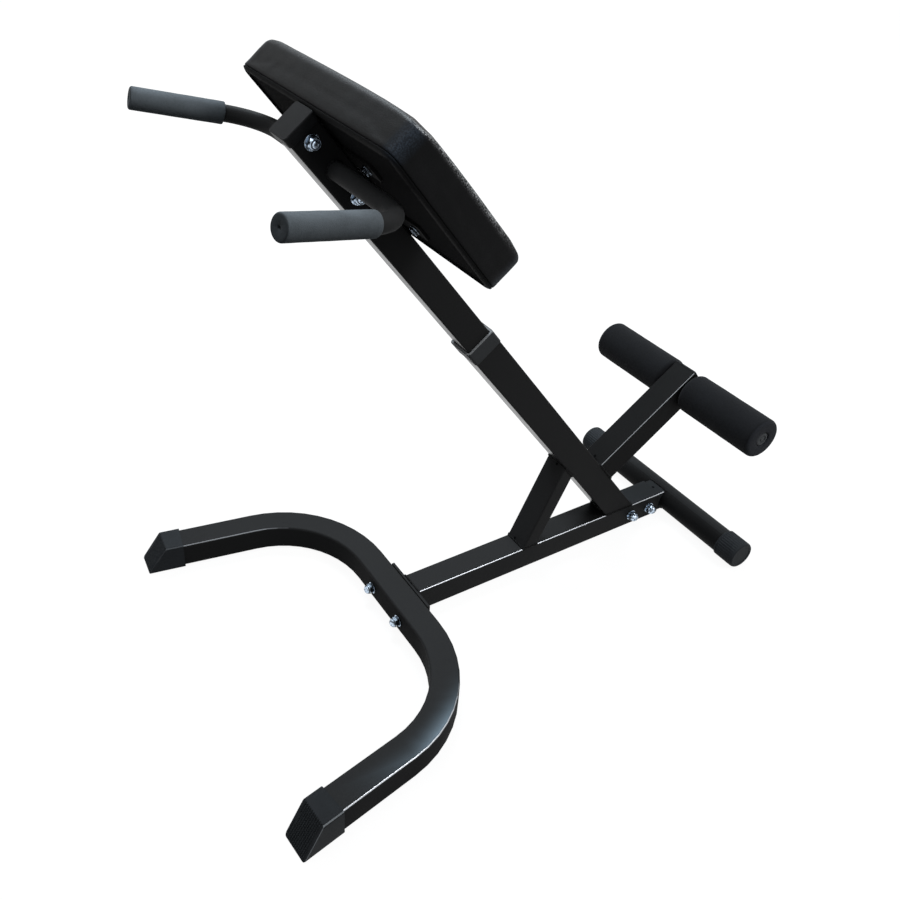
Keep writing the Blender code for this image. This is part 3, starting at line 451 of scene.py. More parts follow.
def cut(bm, point, normal, faces=None, dist=0.00005):
    """Cuts a mesh, or only some faces of it, along a plane."""
    if faces is None:
        geometry = bm.verts[:] + bm.edges[:] + bm.faces[:]
    else:
        geometry = list(dict.fromkeys(item for face in faces for item in (face, *face.edges, *face.verts)))
    return bmesh.ops.bisect_plane(bm, geom=geometry, plane_co=point, plane_no=normal, dist=dist)


# Painted highlight: how strongly a piece's upper edges on the highlighted side are tinted light
HIGHLIGHT_STRENGTH = {"u_base_tube": 1.0, "main_beam": 1.0, "rear_stub": 1.0, "roller_arm": 0.5, "post_sleeve": 0.8,
          "foot_cap_near": 1.0, "foot_cap_far": 0.7, "roller_arm_cap": 0.4}
# Painted light: how much lighter a piece is tinted all over, and the beam's top behind the post
PAINTED_LIGHT = {"rear_foot_tube": 0.015, "rear_stub": 0.06, "post_sleeve": 0.2, "rod_plug_near": 0.4,
            "rod_plug_far": 0.4, "rear_foot_cap_near": 0.1, "rear_foot_cap_far": 0.1, "foot_cap_near": 0.045,
            "foot_cap_far": 0.07}
BEAM_PAINTED_LIGHT = 0.05
# Painted shade: how much darker a piece is tinted all over
PAINTED_SHADE = {"roller_arm": 0.9, "outer_post": 0.25, "inner_post": 0.35, "pad_bracket_upper": 1.0,
         "pad_bracket_lower": 1.0}
# Painted shade: how dark the sides of the fasteners are tinted, by the first word of their names
FLANK_SHADE = {"rear": 0.1, "side": 0.7}
# The side whose upper edges get the painted highlight, and how much of it the far half shows
HIGHLIGHT_SIDE = Vector((0.98, 0.20, 0.0))
FAR_HIGHLIGHT = 0.4
# Painted shadow of the post: the beam's top grows darker towards the foot of the post, from the first place
# to the second, and is clear of it again between the last two
SHADED = (0.228, 0.290, 0.345, 0.350)
# The near bend of the base: its centre, the leg's direction, and where the strip of its painted reflection
# begins
BASE_BEND = Vector((0.102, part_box("main_beam")[0].y - 0.225, 0))
LEG_FORWARD = Vector((math.sin(math.radians(10.6)), -math.cos(math.radians(10.6)), 0))
BEND_STRIP = 0.196


def mark_painted_light_and_shade(bm, node):
    """Notes the painted light and painted shade on each face, and how smooth it is."""
    painted_light, painted_shade, smooth = (bm.loops.layers.float.new(name) for name in ("painted_light", "painted_shade", "smooth"))
    under_post = POST.to_3x3() @ Vector((0, -1, 0))
    for face in bm.faces:
        for loop in face.loops:
            place = loop.vert.co
            # Painted light and painted shade given to the whole piece
            loop[painted_light] = PAINTED_LIGHT.get(node, 0.0) ** (1 / 3)
            loop[painted_shade] = PAINTED_SHADE.get(node, 0.0)
            if node in ("outer_post", "inner_post") and face.normal.dot(under_post) > 0.9:
                loop[smooth] = 1.0
            # Painted shade on the rear foot tube's faces turned forwards
            elif node == "rear_foot_tube":
                loop[painted_shade] = 0.8 * clamp((-face.normal.y - 0.2) / 0.3)
            # The beam's top: painted shadow of the post in front of it, painted light behind it
            elif node == "main_beam" and face.normal.z > 0.9:
                behind = place.y > SHADED[2] + 0.001
                loop[painted_shade] = 0.95 if SHADED[0] + 0.001 < place.y and not behind else 0.0
                loop[painted_light] = BEAM_PAINTED_LIGHT ** (1 / 3) if behind else 0.0
            # Painted shade on the base tube's sides, which are also made rougher
            elif node == "u_base_tube" and abs(face.normal.z) < 0.2:
                loop[smooth], loop[painted_shade] = -0.55, 0.25
            # The near bend's top gets a painted reflection
            elif node == "u_base_tube" and face.normal.z > 0.95:
                loop[painted_light] = bend_painted_reflection(place)


def bend_painted_reflection(point):
    """Painted reflection on the near bend's top at a point, strongest in a strip along its outer side."""
    place = (point - BASE_BEND) * Vector((1, 1, 0))
    down_leg = place - LEG_FORWARD * max(0.0, place.dot(LEG_FORWARD))
    if place.x <= 0 or down_leg.length <= BEND_STRIP:
        return 0.0
    turn = math.degrees(math.atan2(place.y, place.x)) - 27
    return math.exp(-(turn / 29) ** 2)


def mark_edge_highlights(bm, amount, start=0.4):
    """Notes the painted highlight on the narrow upper faces along a tube's corners, on the highlighted side."""
    edge_highlight = bm.loops.layers.float.new("edge_highlight")
    for face in bm.faces:
        across = Vector((face.normal.x, face.normal.y, 0))
        width = face.calc_area() / max(edge.calc_length() for edge in face.edges)
        if width > 0.0028 or across.length < 0.2 or not 0.45 < face.normal.z < 0.90:
            continue
        facing = across.normalized().dot(HIGHLIGHT_SIDE)
        for loop in face.loops:
            far_side = FAR_HIGHLIGHT if loop.vert.co.x < -0.03 else 1.0
            loop[edge_highlight] = amount * far_side * clamp((facing - start) / 0.2)


def mark_flanks(bm, node):
    """Notes painted shade on a fastener's sides, between its bright faces, and painted highlight on the
    sleeve's upper rim.
    """
    flank_shade = bm.loops.layers.float.new("flank_shade")
    edge_highlight = bm.loops.layers.float["edge_highlight"]
    axis = Vector((1, 0, 0)) if node.startswith(("side_", "rear_")) else Vector((0, 1, 0))
    if node.startswith("pad_bolt"):
        axis = POST.to_3x3() @ axis
    post_up = POST.to_3x3() @ Vector((0, 0, 1))
    dark = FLANK_SHADE.get(node.split("_")[0], 1.0)
    for face in bm.faces:
        for loop in face.loops:
            # Painted shade on faces turned away from the fastener's axis
            loop[flank_shade] = dark * clamp(1.5 - 2.6 * abs(face.normal.dot(axis)))
            # The sleeve's upper rim gets the painted highlight
            if node == "post_sleeve" and face.normal.dot(post_up) > 0.9:
                loop[edge_highlight] = 1.0


def dress(node, finish, edge=0.0004, sharp=40):
    """A smooth copy of a solid with softened edges takes its place."""
    bm = merged(node, node != "u_base_tube")
    if node == "main_beam":
        for place in SHADED:
            cut(bm, (0, place, 0), (0, 1, 0))
    # Painted highlight along the upper edges
    mark_edge_highlights(bm, HIGHLIGHT_STRENGTH.get(node, 0.0), 0.72 if node == "u_base_tube" else 0.4)
    mark_painted_light_and_shade(bm, node)
    mark_flanks(bm, node)
    soften(finished(node + "_finished", bm, CAD[node]["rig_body"], finish, [node], sharp), edge)


def soften(piece, edge):
    bevel = piece.modifiers.new("soft edges", "BEVEL")
    bevel.width = edge
    bevel.segments = 2
    bevel.profile = 0.5
    bevel.limit_method = "ANGLE"
    bevel.angle_limit = math.radians(50)
    even = piece.modifiers.new("even shading", "WEIGHTED_NORMAL")
    even.keep_sharp = True


def turned(profile, sides, closed=False):
    """A profile of radius and height, spun round Z."""
    bm = bmesh.new()
    points = [bm.verts.new((radius, 0, height)) for radius, height in profile]
    pairs = list(zip(points, points[1:]))
    if closed:
        pairs.append((points[-1], points[0]))
    edges = [bm.edges.new(pair) for pair in pairs]
    bmesh.ops.spin(bm, geom=points + edges, cent=(0, 0, 0), axis=(0, 0, 1), angle=math.tau, steps=sides,
                   use_merge=True)
    bmesh.ops.remove_doubles(bm, verts=bm.verts, dist=0.000005)
    bmesh.ops.recalc_face_normals(bm, faces=bm.faces)
    return bm


def rounded(radius, height, edge, steps=4):
    """The rounded outer edge of a turned end, from the side round to the face."""
    centre_radius, centre_height = radius - edge, height - edge
    return [(centre_radius + edge * math.cos(math.pi / 2 * step / steps),
             centre_height + edge * math.sin(math.pi / 2 * step / steps)) for step in range(steps + 1)]


def along(points, spacing, closed):
    """The same line with its points an even distance apart."""
    line = list(points) + ([points[0]] if closed else [])
    lengths = [(b - a).length for a, b in zip(line, line[1:])]
    count = max(2, round(sum(lengths) / spacing))
    places, index, passed = [], 0, 0.0
    for step in range(count if closed else count + 1):
        goal = sum(lengths) * step / count
        while index < len(lengths) - 1 and passed + lengths[index] < goal:
            passed += lengths[index]
            index += 1
        share = (goal - passed) / lengths[index] if lengths[index] else 0
        places.append(line[index].lerp(line[index + 1], min(1, share)))
    return places


def evaluated(piece):
    """The piece's mesh with its modifiers applied, as a bmesh."""
    bpy.context.view_layer.update()
    shape = piece.evaluated_get(bpy.context.evaluated_depsgraph_get())
    bm = bmesh.new()
    bm.from_mesh(shape.to_mesh())
    shape.to_mesh_clear()
    return bm


def rod_along(points, radii, closed):
    """A round bar along a line of points, with its own radius at each, as a bmesh."""
    curve = bpy.data.curves.new("bar", "CURVE")
    curve.dimensions = "3D"
    curve.bevel_depth = 1.0
    curve.bevel_resolution = 2
    curve.use_fill_caps = True
    spline = curve.splines.new("POLY")
    spline.points.add(len(points) - 1)
    for point, place, radius in zip(spline.points, points, radii):
        point.co = (*place, 1)
        point.radius = radius
    spline.use_cyclic_u = closed
    holder = placed("bar", curve)
    bm = evaluated(holder)
    bpy.data.objects.remove(holder)
    bpy.data.curves.remove(curve)
    bmesh.ops.remove_doubles(bm, verts=bm.verts, dist=0.00001)
    bmesh.ops.recalc_face_normals(bm, faces=bm.faces)
    return bm


def outline(node, point, normal):
    """The outer line in which a plane cuts a solid, as points in order."""
    bm = merged(node)
    line = section(bm, point, normal)
    bm.free()
    return line


def section(bm, point, normal):
    """The longest closed line in which a plane cuts a mesh, as points in order."""
    crossed = cut(bm, point, normal, dist=0.0000001)["geom_cut"]
    edges = dict.fromkeys(item for item in crossed if isinstance(item, bmesh.types.BMEdge))
    lines = []
    while edges:
        first, last = edges.popitem()[0].verts
        line = [first, last]
        while last is not first:
            following = next((other for other in last.link_edges if other in edges), None)
            if following is None:
                break
            del edges[following]
            last = following.other_vert(last)
            line.append(last)
        lines.append([vert.co.copy() for vert in line[:-1]])
    if not lines:
        raise ValueError("the plane misses the piece")
    return max(lines, key=lambda line: sum((a - b).length for a, b in zip(line, line[1:] + line[:1])))


def weld(name, body, points, closed=True, size=1.0):
    """A rippled weld bead along a line."""
    places = along(points, 0.0011, closed)
    bead = bpy.context.scene.bench_sizes.weld * size
    radii = [bead * (1 + 0.14 * math.sin(step * 1.7) + 0.22 * noise.noise(place * 160))
             for step, place in enumerate(places)]
    return finished(name, rod_along(places, radii, closed), body, "weld", sharp=80)


# Operators, one for each piece or group of like pieces

class BENCH_OT_steel(bpy.types.Operator):
    """Powder-coated tubes, plates and brackets"""
    bl_idname = "bench.steel"
    bl_label = "Steel Frame"

    def execute(self, context):
        for node in PAINTED:
            dress(node, "paint", context.scene.bench_sizes.edge)
        return {"FINISHED"}


# The small round holes near the ends of the stub, the strut and the arm, drawn as dark discs of painted
# shade, and the slant of their faces
VENT_RADIUS = 0.0028
VENTS = (((0.0, 0.4711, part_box("rear_stub")[1].z), 0), ((0.0005, 0.1136, 0.0645), 66),
         ((0.0089, 0.1852, 0.2253), 66), ((0.0027, 0.2853, 0.2032), 36.3))


class BENCH_OT_welds(bpy.types.Operator):
    """Weld beads where the steel parts meet, and dark discs of painted shade as the vent holes beside them"""
    bl_idname = "bench.welds"
    bl_label = "Welds"

    def execute(self, context):
        back = (POST.to_3x3() @ Vector((0, 1, 0))).normalized()
        foot, rim = POST_FOOT + Vector((0, 0, 0.0006)), 0.0005
        for name, node, point, normal in (
                ("weld_post_beam", "outer_post", foot, (0, 0, 1)),
                ("weld_strut_beam", "support_strut", foot, (0, 0, 1)),
                ("weld_strut_post", "support_strut", POST @ Vector((0, -POST_FACE - rim, 0)), back),
                ("weld_arm_post", "roller_arm", POST @ Vector((0, POST_FACE + rim, 0)), back),
                ("weld_plate_beam", "main_beam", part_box("main_beam")[0] + Vector((0, 0.0006, 0)), (0, 1, 0))):
            weld(name, "frame", outline(node, point, normal))
        stub = outline("rear_stub", Vector((0, BEAM_END + 0.003, 0)), (0, 1, 0))
        for point in stub:
            reach = REAR_FOOT_RADIUS ** 2 - (point.z - REAR_FOOT.z) ** 2
            point.y = REAR_FOOT.y - math.sqrt(max(reach, 0.0)) - 0.0002
        weld("weld_stub_foot", "frame", stub)
        side = Vector((-POST_SIDE - 0.0006, 0, 0))
        weld("weld_pin_housing", "frame", outline("pin_housing", side, (1, 0, 0)), size=0.7)
        # Flat dark discs of painted shade stand in for the holes
        vents = bmesh.new()
        for place, slant in VENTS:
            seat = Matrix.Translation(place) @ Matrix.Rotation(math.radians(slant), 4, "X")
            bmesh.ops.create_circle(vents, cap_ends=True, radius=VENT_RADIUS, segments=20,
                                    matrix=seat @ Matrix.Translation((0, 0, 0.0003)))
        finished("vent_hole_shade", vents, "frame", "groove", sharp=80)
        for word, sign in SIDES:
            side = Vector((sign * (INNER_SIDE + 0.0004), 0, 0))
            weld("weld_handle_" + word, "upper_post", outline("handlebar", side, (1, 0, 0)), size=0.9)
        for word, drop in BRACKET_DROP.items():
            for end, sign in (("top", 1), ("bottom", -1)):
                height = POST_TOP - drop + sign * BRACKET_HALF_HEIGHT
                line = [POST @ Vector((x, INNER_FACE, height))
                        for x in (-BRACKET_HALF_WIDTH, BRACKET_HALF_WIDTH)]
                weld(f"weld_bracket_{word}_{end}", "upper_post", line, closed=False, size=0.9)
        return {"FINISHED"}


class BENCH_OT_fasteners(bpy.types.Operator):
    """Zinc-plated bolts, washers, cap nuts and locking nuts"""
    bl_idname = "bench.fasteners"
    bl_label = "Fasteners"

    def execute(self, context):
        for node in ZINC:
            dress(node, "zinc", 0.00025, 35)
        for word in ("upper", "lower"):
            ring = turned([(0.0051, 0.0), (0.0062, 0.0), (0.0066, -0.0003), (0.0066, -0.0008),
                           (0.0051, -0.0008)], 32, True)
            node = "side_lock_nut_" + word
            place_on_side(ring, middle(node) + Vector((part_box(node)[1].x + 0.0006, 0, 0)))
            finished("nylon_ring_" + word, ring, "upper_post", "nylon")
        return {"FINISHED"}


def place_on_side(bm, place, sign=1):
    """Turns a piece made along Z to stand out sideways at a place."""
    turn = Matrix.Translation(place) @ Matrix.Rotation(math.radians(90 * sign), 4, "Y")
    bmesh.ops.transform(bm, matrix=turn, verts=bm.verts)


class BENCH_OT_foot_caps(bpy.types.Operator):
    """Rubber caps with a studded tread on the base, and ribbed caps on the rear foot"""
    bl_idname = "bench.foot_caps"
    bl_label = "Foot Caps"

    def execute(self, context):
        sizes = context.scene.bench_sizes
        for word, sign in SIDES:
            treaded_cap("foot_cap_" + word, sizes.tread_pitch)
            ribbed_cap("rear_foot_cap_" + word, sign, sizes.rib_count)
        return {"FINISHED"}


TREAD_RIM = 0.0042
TREAD_HALF = (0.0235, 0.040)
STUD_HEIGHT = 0.0011


def treaded_cap(node, pitch):
    """The cap's slanted end gets a field of small studs inside a plain rim."""
    bm = merged(node)
    mark_edge_highlights(bm, HIGHLIGHT_STRENGTH[node])
    mark_painted_light_and_shade(bm, node)
    end = max((face for face in bm.faces if face.normal.y < -0.5), key=lambda face: face.calc_area())
    across = Vector((0, 0, 1)).cross(end.normal).normalized()
    rise = end.normal.cross(across).normalized()
    centre = end.calc_center_median()
    outwards = end.normal.copy()

    def tread():
        """The faces of the tread, which lies inside the plain rim."""
        for face in bm.faces:
            offset = face.calc_center_median() - centre
            inside = abs(offset.dot(across)) < TREAD_HALF[0] and abs(offset.dot(rise)) < TREAD_HALF[1]
            if inside and face.normal.dot(outwards) > 0.999:
                yield face

    bmesh.ops.inset_region(bm, faces=[end], thickness=TREAD_RIM, depth=0.0)
    for direction in (across, rise):
        spread = [(vert.co - centre).dot(direction) for vert in end.verts]
        steps = round((max(spread) - min(spread)) / pitch)
        first = (max(spread) + min(spread)) / 2 - pitch * steps / 2
        for step in range(steps + 1):
            cut(bm, centre + direction * (first + pitch * step), direction, list(tread()), 0.0)
    studs = [face for face in tread() if face.calc_area() > 0.6 * pitch ** 2]
    # The gaps between the studs take the groove's painted shade
    for face in tread():
        face.material_index = 1
    bmesh.ops.inset_individual(bm, faces=studs, thickness=pitch * 0.12, depth=0.0)
    raised = bmesh.ops.extrude_discrete_faces(bm, faces=studs)["faces"]
    tops = list({vert for face in raised for vert in face.verts})
    for face in {face for vert in tops for face in vert.link_faces}:
        face.material_index = 0
    bmesh.ops.translate(bm, vec=outwards * STUD_HEIGHT, verts=tops)
    for face in raised:
        stud_centre = face.calc_center_median()
        for vert in face.verts:
            vert.co = stud_centre.lerp(vert.co, 0.66)
    soften(finished(node + "_finished", bm, "frame", ("rubber", "groove"), [node], 30), 0.0008)


def ribbed_cap(node, sign, ribs):
    """A closed round cap with ribs along its side."""
    inner, outer, radius = span(node)
    whole = outer - inner
    ribbed_from, ribbed_to = 0.0052, whole - 0.0055
    profile = [(0.0252, 0.0), (radius - 0.0008, 0.0), (radius - 0.0002, 0.0006), (radius - 0.0002, 0.004),
               (radius - 0.0010, 0.0046), (radius - 0.0010, ribbed_from), (radius - 0.0010, ribbed_to)]
    profile += rounded(radius - 0.0004, whole, 0.0042)
    profile += [(radius - 0.0068, whole - 0.0004), (radius - 0.0074, whole - 0.0012),
                (0.010, whole - 0.0012), (0.0, whole - 0.0012)]
    bm = turned(profile, ribs * 4)
    for vert in bm.verts:
        if ribbed_from - 0.0002 < vert.co.z < ribbed_to + 0.0002 and vert.co.xy.length > radius - 0.0013:
            step = round(math.atan2(vert.co.y, vert.co.x) / math.tau * ribs * 4) % 4
            if step in (0, 1):
                vert.co.xy *= (radius - 0.0001) / vert.co.xy.length
    close_mouth(bm)
    mark_painted_light_and_shade(bm, node)
    place_on_side(bm, REAR_FOOT + Vector((sign * inner, 0, 0)), sign)
    finished(node + "_finished", bm, "frame", "rubber", [node], 35)


def close_mouth(bm):
    """Fills the open edge of a cap, which the tube hides."""
    edges = [edge for edge in bm.edges if edge.is_boundary]
    if edges:
        bmesh.ops.holes_fill(bm, edges=edges, sides=0)
    bmesh.ops.recalc_face_normals(bm, faces=bm.faces)


class BENCH_OT_plastics(bpy.types.Operator):
    """Moulded top cap, sleeve, arm cap, rod plugs and pull knob"""
    bl_idname = "bench.plastics"
    bl_label = "Plastic Parts"

    def execute(self, context):
        for node in ("top_cap", "post_sleeve", "roller_arm_cap"):
            dress(node, "plastic", 0.0007)
        for word, sign in SIDES:
            self.plug(word, sign)
        self.knob()
        return {"FINISHED"}

    def plug(self, word, sign):
        """A domed plug with a dished middle, in the end of the rod."""
        node = "rod_plug_" + word
        back, face, radius = span(node)
        radius, shank, brim = radius + 0.00015, 0.0090, face - 0.004
        profile = [(0.0, back), (shank, back), (shank, brim), (radius, brim)]
        profile += rounded(radius, face, 0.0016)
        profile += [(0.0085, face + 0.0003), (0.0080, face - 0.0010), (0.0042, face - 0.0012),
                    (0.0036, face - 0.0002), (0.0, face)]
        bm = turned(profile, 48)
        mark_painted_light_and_shade(bm, node)
        place_on_side(bm, ROD, sign)
        finished(node + "_finished", bm, "frame", "plastic", [node], 30)

    def knob(self):
        """A pull knob with finger flutes round its side."""
        inner, outer, radius = span("pin_knob")
        profile = [(0.0052, inner), (radius - 0.003, inner), (radius - 0.0009, inner + 0.001),
                   (radius - 0.0002, inner + 0.003), (radius - 0.0002, outer - 0.005)]
        profile += rounded(radius - 0.0002, outer, 0.0035)[1:]
        profile += [(0.0075, outer), (0.0068, outer - 0.0009), (0.0, outer - 0.0009)]
        bm = turned(profile, 96)
        for vert in bm.verts:
            if vert.co.xy.length > radius - 0.0035:
                flute = max(0.0, math.cos(8 * math.atan2(vert.co.y, vert.co.x))) ** 3
                vert.co.xy *= 1 - 0.11 * flute
        close_mouth(bm)
        place_on_side(bm, middle("pin_knob"), -1)
        finished("pin_knob_finished", bm, "pull_pin", "plastic", ["pin_knob"], 40)


class BENCH_OT_rollers(bpy.types.Operator):
    """Foam leg rollers"""
    bl_idname = "bench.rollers"
    bl_label = "Leg Rollers"

    def execute(self, context):
        for word, sign in SIDES:
            self.roller(word, sign, context.scene.bench_sizes.roller_diameter / 2)
        return {"FINISHED"}

    def roller(self, word, sign, radius):
        node = "foam_roller_" + word
        start, end = span(node)[:2]
        start, end = start + 0.0002, end - 0.0002
        bore, recess, floor = 0.0122, 0.0142, end - 0.007
        outer = rounded(radius, end, 0.0078, 7)
        inner = [(r, start + end - height) for r, height in reversed(outer)]
        rows = [(radius, inner[-1][1] + (outer[0][1] - inner[-1][1]) * step / 24) for step in range(1, 24)]
        profile = inner + rows + outer + [(0.020, end), (recess + 0.0012, end), (recess, end - 0.0012),
                                          (recess, floor), (bore, floor), (bore, start)]
        bm = turned(profile, 96, True)
        for vert in bm.verts:
            reach = vert.co.xy.length
            if reach > 0.016:
                lumps = noise.noise(vert.co * 45 + Vector((sign, 0, 0))) + 0.5 * noise.noise(vert.co * 120)
                vert.co.xy *= 1 - 0.00022 * (1 + lumps) / reach
        mark_cut_end(bm, end, 0.0045)
        place_on_side(bm, ROD, sign)
        piece = finished(node + "_finished", bm, "roller_" + word, "roller_foam", [node], 60)


def mark_cut_end(bm, end, depth):
    """Notes the flat cut end of a foam tube made along Z."""
    cut_end = bm.verts.layers.float.new("cut")
    for vert in bm.verts:
        at_end = clamp((vert.co.z - end + depth) / depth * 1.4)
        vert[cut_end] = at_end if vert.co.xy.length > 0.013 else 1.0


class BENCH_OT_grips(bpy.types.Operator):
    """Foam grips on the ends of the handlebar"""
    bl_idname = "bench.grips"
    bl_label = "Handle Grips"

    def execute(self, context):
        for word, sign in SIDES:
            self.grip(word, sign, context.scene.bench_sizes.grip_diameter / 2)
        return {"FINISHED"}

    def grip(self, word, sign, radius):
        node = "handle_grip_" + word
        # Sideways, forwards and up at the handlebar's middle, and then its directions at the grip
        across = Vector((sign, 0, 0))
        ahead = Vector((0, -math.cos(HANDLE_RISE), math.sin(HANDLE_RISE)))
        up = Vector((0, math.sin(HANDLE_RISE), math.cos(HANDLE_RISE)))
        forward = across * math.cos(HANDLE_TURN) + ahead * math.sin(HANDLE_TURN)
        side = across * math.sin(HANDLE_TURN) - ahead * math.cos(HANDLE_TURN)
        start = HANDLE + across * HANDLE_REACH + ahead * HANDLE_BEND + side * HANDLE_BEND
        whole, bore, hole = 0.134, 0.0128, 0.0024
        outer = rounded(radius, whole, 0.0032, 5)
        rows = [(radius, 0.002 + (outer[0][1] - 0.002) * step / 20) for step in range(20)]
        profile = [(bore, 0.0004), (radius - 0.0016, 0.0003), (radius - 0.0004, 0.0008)] + rows + outer
        profile += [(hole + 0.0008, whole), (hole, whole - 0.0008), (hole, whole - 0.0038),
                    (bore, whole - 0.0038)]
        bm = turned(profile, 64, True)
        for vert in bm.verts:
            reach = vert.co.xy.length
            if reach > 0.0145:
                vert.co.xy *= 1 - 0.00016 * (1 + noise.noise(vert.co * 90 + across)) / reach
        cut_end = bm.verts.layers.float.new("cut")
        for vert in bm.verts:
            vert[cut_end] = 1.0 if vert.co.z > whole - 0.0008 else 0.0
        turn = Matrix((side, up * sign, forward)).transposed().to_4x4()
        bmesh.ops.transform(bm, matrix=Matrix.Translation(start) @ turn, verts=bm.verts)
        bmesh.ops.recalc_face_normals(bm, faces=bm.faces)
        piece = finished(node + "_finished", bm, "upper_post", "grip_foam", [node], 60)


class BENCH_OT_pad(bpy.types.Operator):
    """Upholstered hip pad: filled vinyl cover folded round its edge, and the cloth-backed board"""
    bl_idname = "bench.pad"
    bl_label = "Hip Pad"

    def execute(self, context):
        sizes = context.scene.bench_sizes
        cover = cushion_cover(*PAD_SIZE, sizes)
        bmesh.ops.transform(cover, matrix=PAD, verts=cover.verts)
        piece = finished("hip_pad_cover", cover, "upper_post", "vinyl", ["pad_cushion"], 80)
        dress("pad_board", "backing", 0.0008)
        return {"FINISHED"}


def rounded_block(width, depth, bottom, top, corner, top_edge, bottom_edge):
    """A block with rounded corners and edges, standing on bottom."""
    bm = bmesh.new()
    bmesh.ops.create_cube(bm, size=1.0)
    bmesh.ops.scale(bm, vec=(width, depth, top - bottom), verts=bm.verts)
    bmesh.ops.translate(bm, vec=(0, 0, (top + bottom) / 2), verts=bm.verts)
    upright = [edge for edge in bm.edges if abs(edge.verts[0].co.z - edge.verts[1].co.z) > 0.001]
    bmesh.ops.bevel(bm, geom=upright, offset=corner, segments=8, profile=0.5, affect="EDGES", material=-1)
    for level, edge_size, steps in ((top, top_edge, 6), (bottom, bottom_edge, 3)):
        rim = [edge for edge in bm.edges if all(abs(vert.co.z - level) < 0.00001 for vert in edge.verts)]
        bmesh.ops.bevel(bm, geom=rim, offset=edge_size, segments=steps, profile=0.5, affect="EDGES",
                        material=-1)
    return bm


def cushion_cover(width, depth, height, sizes):
    """The pad's vinyl cover, pushed out by its filling as a cloth under pressure."""
    side, crown = 0.0009, 0.0048
    bm = rounded_block(width - 2 * side, depth - 2 * side, bottom=-0.0034, top=height - crown, corner=0.0205,
                       top_edge=0.0092, bottom_edge=0.0034)
    mesh = as_mesh("pad_filling", bm)
    filling = placed("pad_filling", mesh)
    remesh = filling.modifiers.new("even mesh", "REMESH")
    remesh.mode = "VOXEL"
    remesh.voxel_size = 0.005
    remeshed = evaluated(filling)
    filling.modifiers.clear()
    remeshed.to_mesh(mesh)
    remeshed.free()
    swell_cover(filling, sizes.pad_swell, side, crown)
    even = filling.modifiers.new("finer mesh", "SUBSURF")
    even.levels = even.render_levels = 1
    bm = evaluated(filling)
    bpy.data.objects.remove(filling)
    bpy.data.meshes.remove(mesh)
    fold_under(bm, width / 2, depth / 2, sizes.pad_rim)
    shape_cover(bm, width / 2, depth / 2, height)
    return bm


def swell_cover(filling, swell, side, crown):
    """Runs the cover as cloth under pressure; the filling only pushes outwards, and no further than swell."""
    scene = bpy.context.scene
    mesh = filling.data
    start = [vert.co.copy() for vert in mesh.vertices]
    outwards = [vert.normal.copy() for vert in mesh.vertices]
    held = filling.vertex_groups.new(name="held")
    held.add([vert.index for vert in mesh.vertices if vert.co.z < 0.002], 1.0, "REPLACE")
    cloth = filling.modifiers.new("cover", "CLOTH")
    cloth.settings.use_pressure = True
    cloth.settings.uniform_pressure_force = 4.0
    cloth.settings.vertex_group_mass = "held"
    cloth.settings.effector_weights.gravity = 0.0
    cloth.settings.quality = 6
    cloth.point_cache.frame_start = 1
    cloth.point_cache.frame_end = SWELL_FRAMES
    for step in range(1, SWELL_FRAMES + 1):
        scene.frame_set(step)
    shape = filling.evaluated_get(bpy.context.evaluated_depsgraph_get()).data
    moved = [vert.co.copy() for vert in shape.vertices]
    filling.modifiers.clear()
    filling.vertex_groups.clear()
    scene.frame_set(1)
    for vert, was, now, out in zip(mesh.vertices, start, moved, outwards):
        push = max(0.0, (now - was).dot(out))
        limit = side + (min(swell, crown) - side) * max(0.0, out.z) ** 2
        vert.co = was + out * limit * (1 - math.exp(-push / limit))


# The pad's cover: its seam and its fold above the pad's underside, the depth of the board's pocket, from
# where up it is worn, the radius of its corners, how far from them it is drawn in, and the frames in which
# it is blown out
SEAM = 0.0018
FOLD = -0.0024
POCKET = 0.011
WORN_FROM = 0.04
CORNER = 0.021
DRAWN_IN = 0.046
SWELL_FRAMES = 20
SEAM_LOOPS = tuple(SEAM + step * 0.0007 for step in (-2, -1, 0, 1, 2))


def fold_under(bm, half_width, half_depth, rim):
    """Ends the cover in a rim under the pad, and opens the pocket that the board lies in."""
    for axis, half in ((Vector((1, 0, 0)), half_width), (Vector((0, 1, 0)), half_depth)):
        for place in (half - rim, half - rim - 0.0004):
            for sign in (1, -1):
                under = [face for face in bm.faces if all(vert.co.z < FOLD for vert in face.verts)]
                cut(bm, axis * place * sign, axis, under)
    for vert in bm.verts:
        inside = abs(vert.co.x) < half_width - rim - 0.0002 and abs(vert.co.y) < half_depth - rim - 0.0002
        if inside and vert.co.z < FOLD:
            vert.co.z += POCKET
    for level in SEAM_LOOPS:
        cut(bm, (0, 0, level), (0, 0, 1))


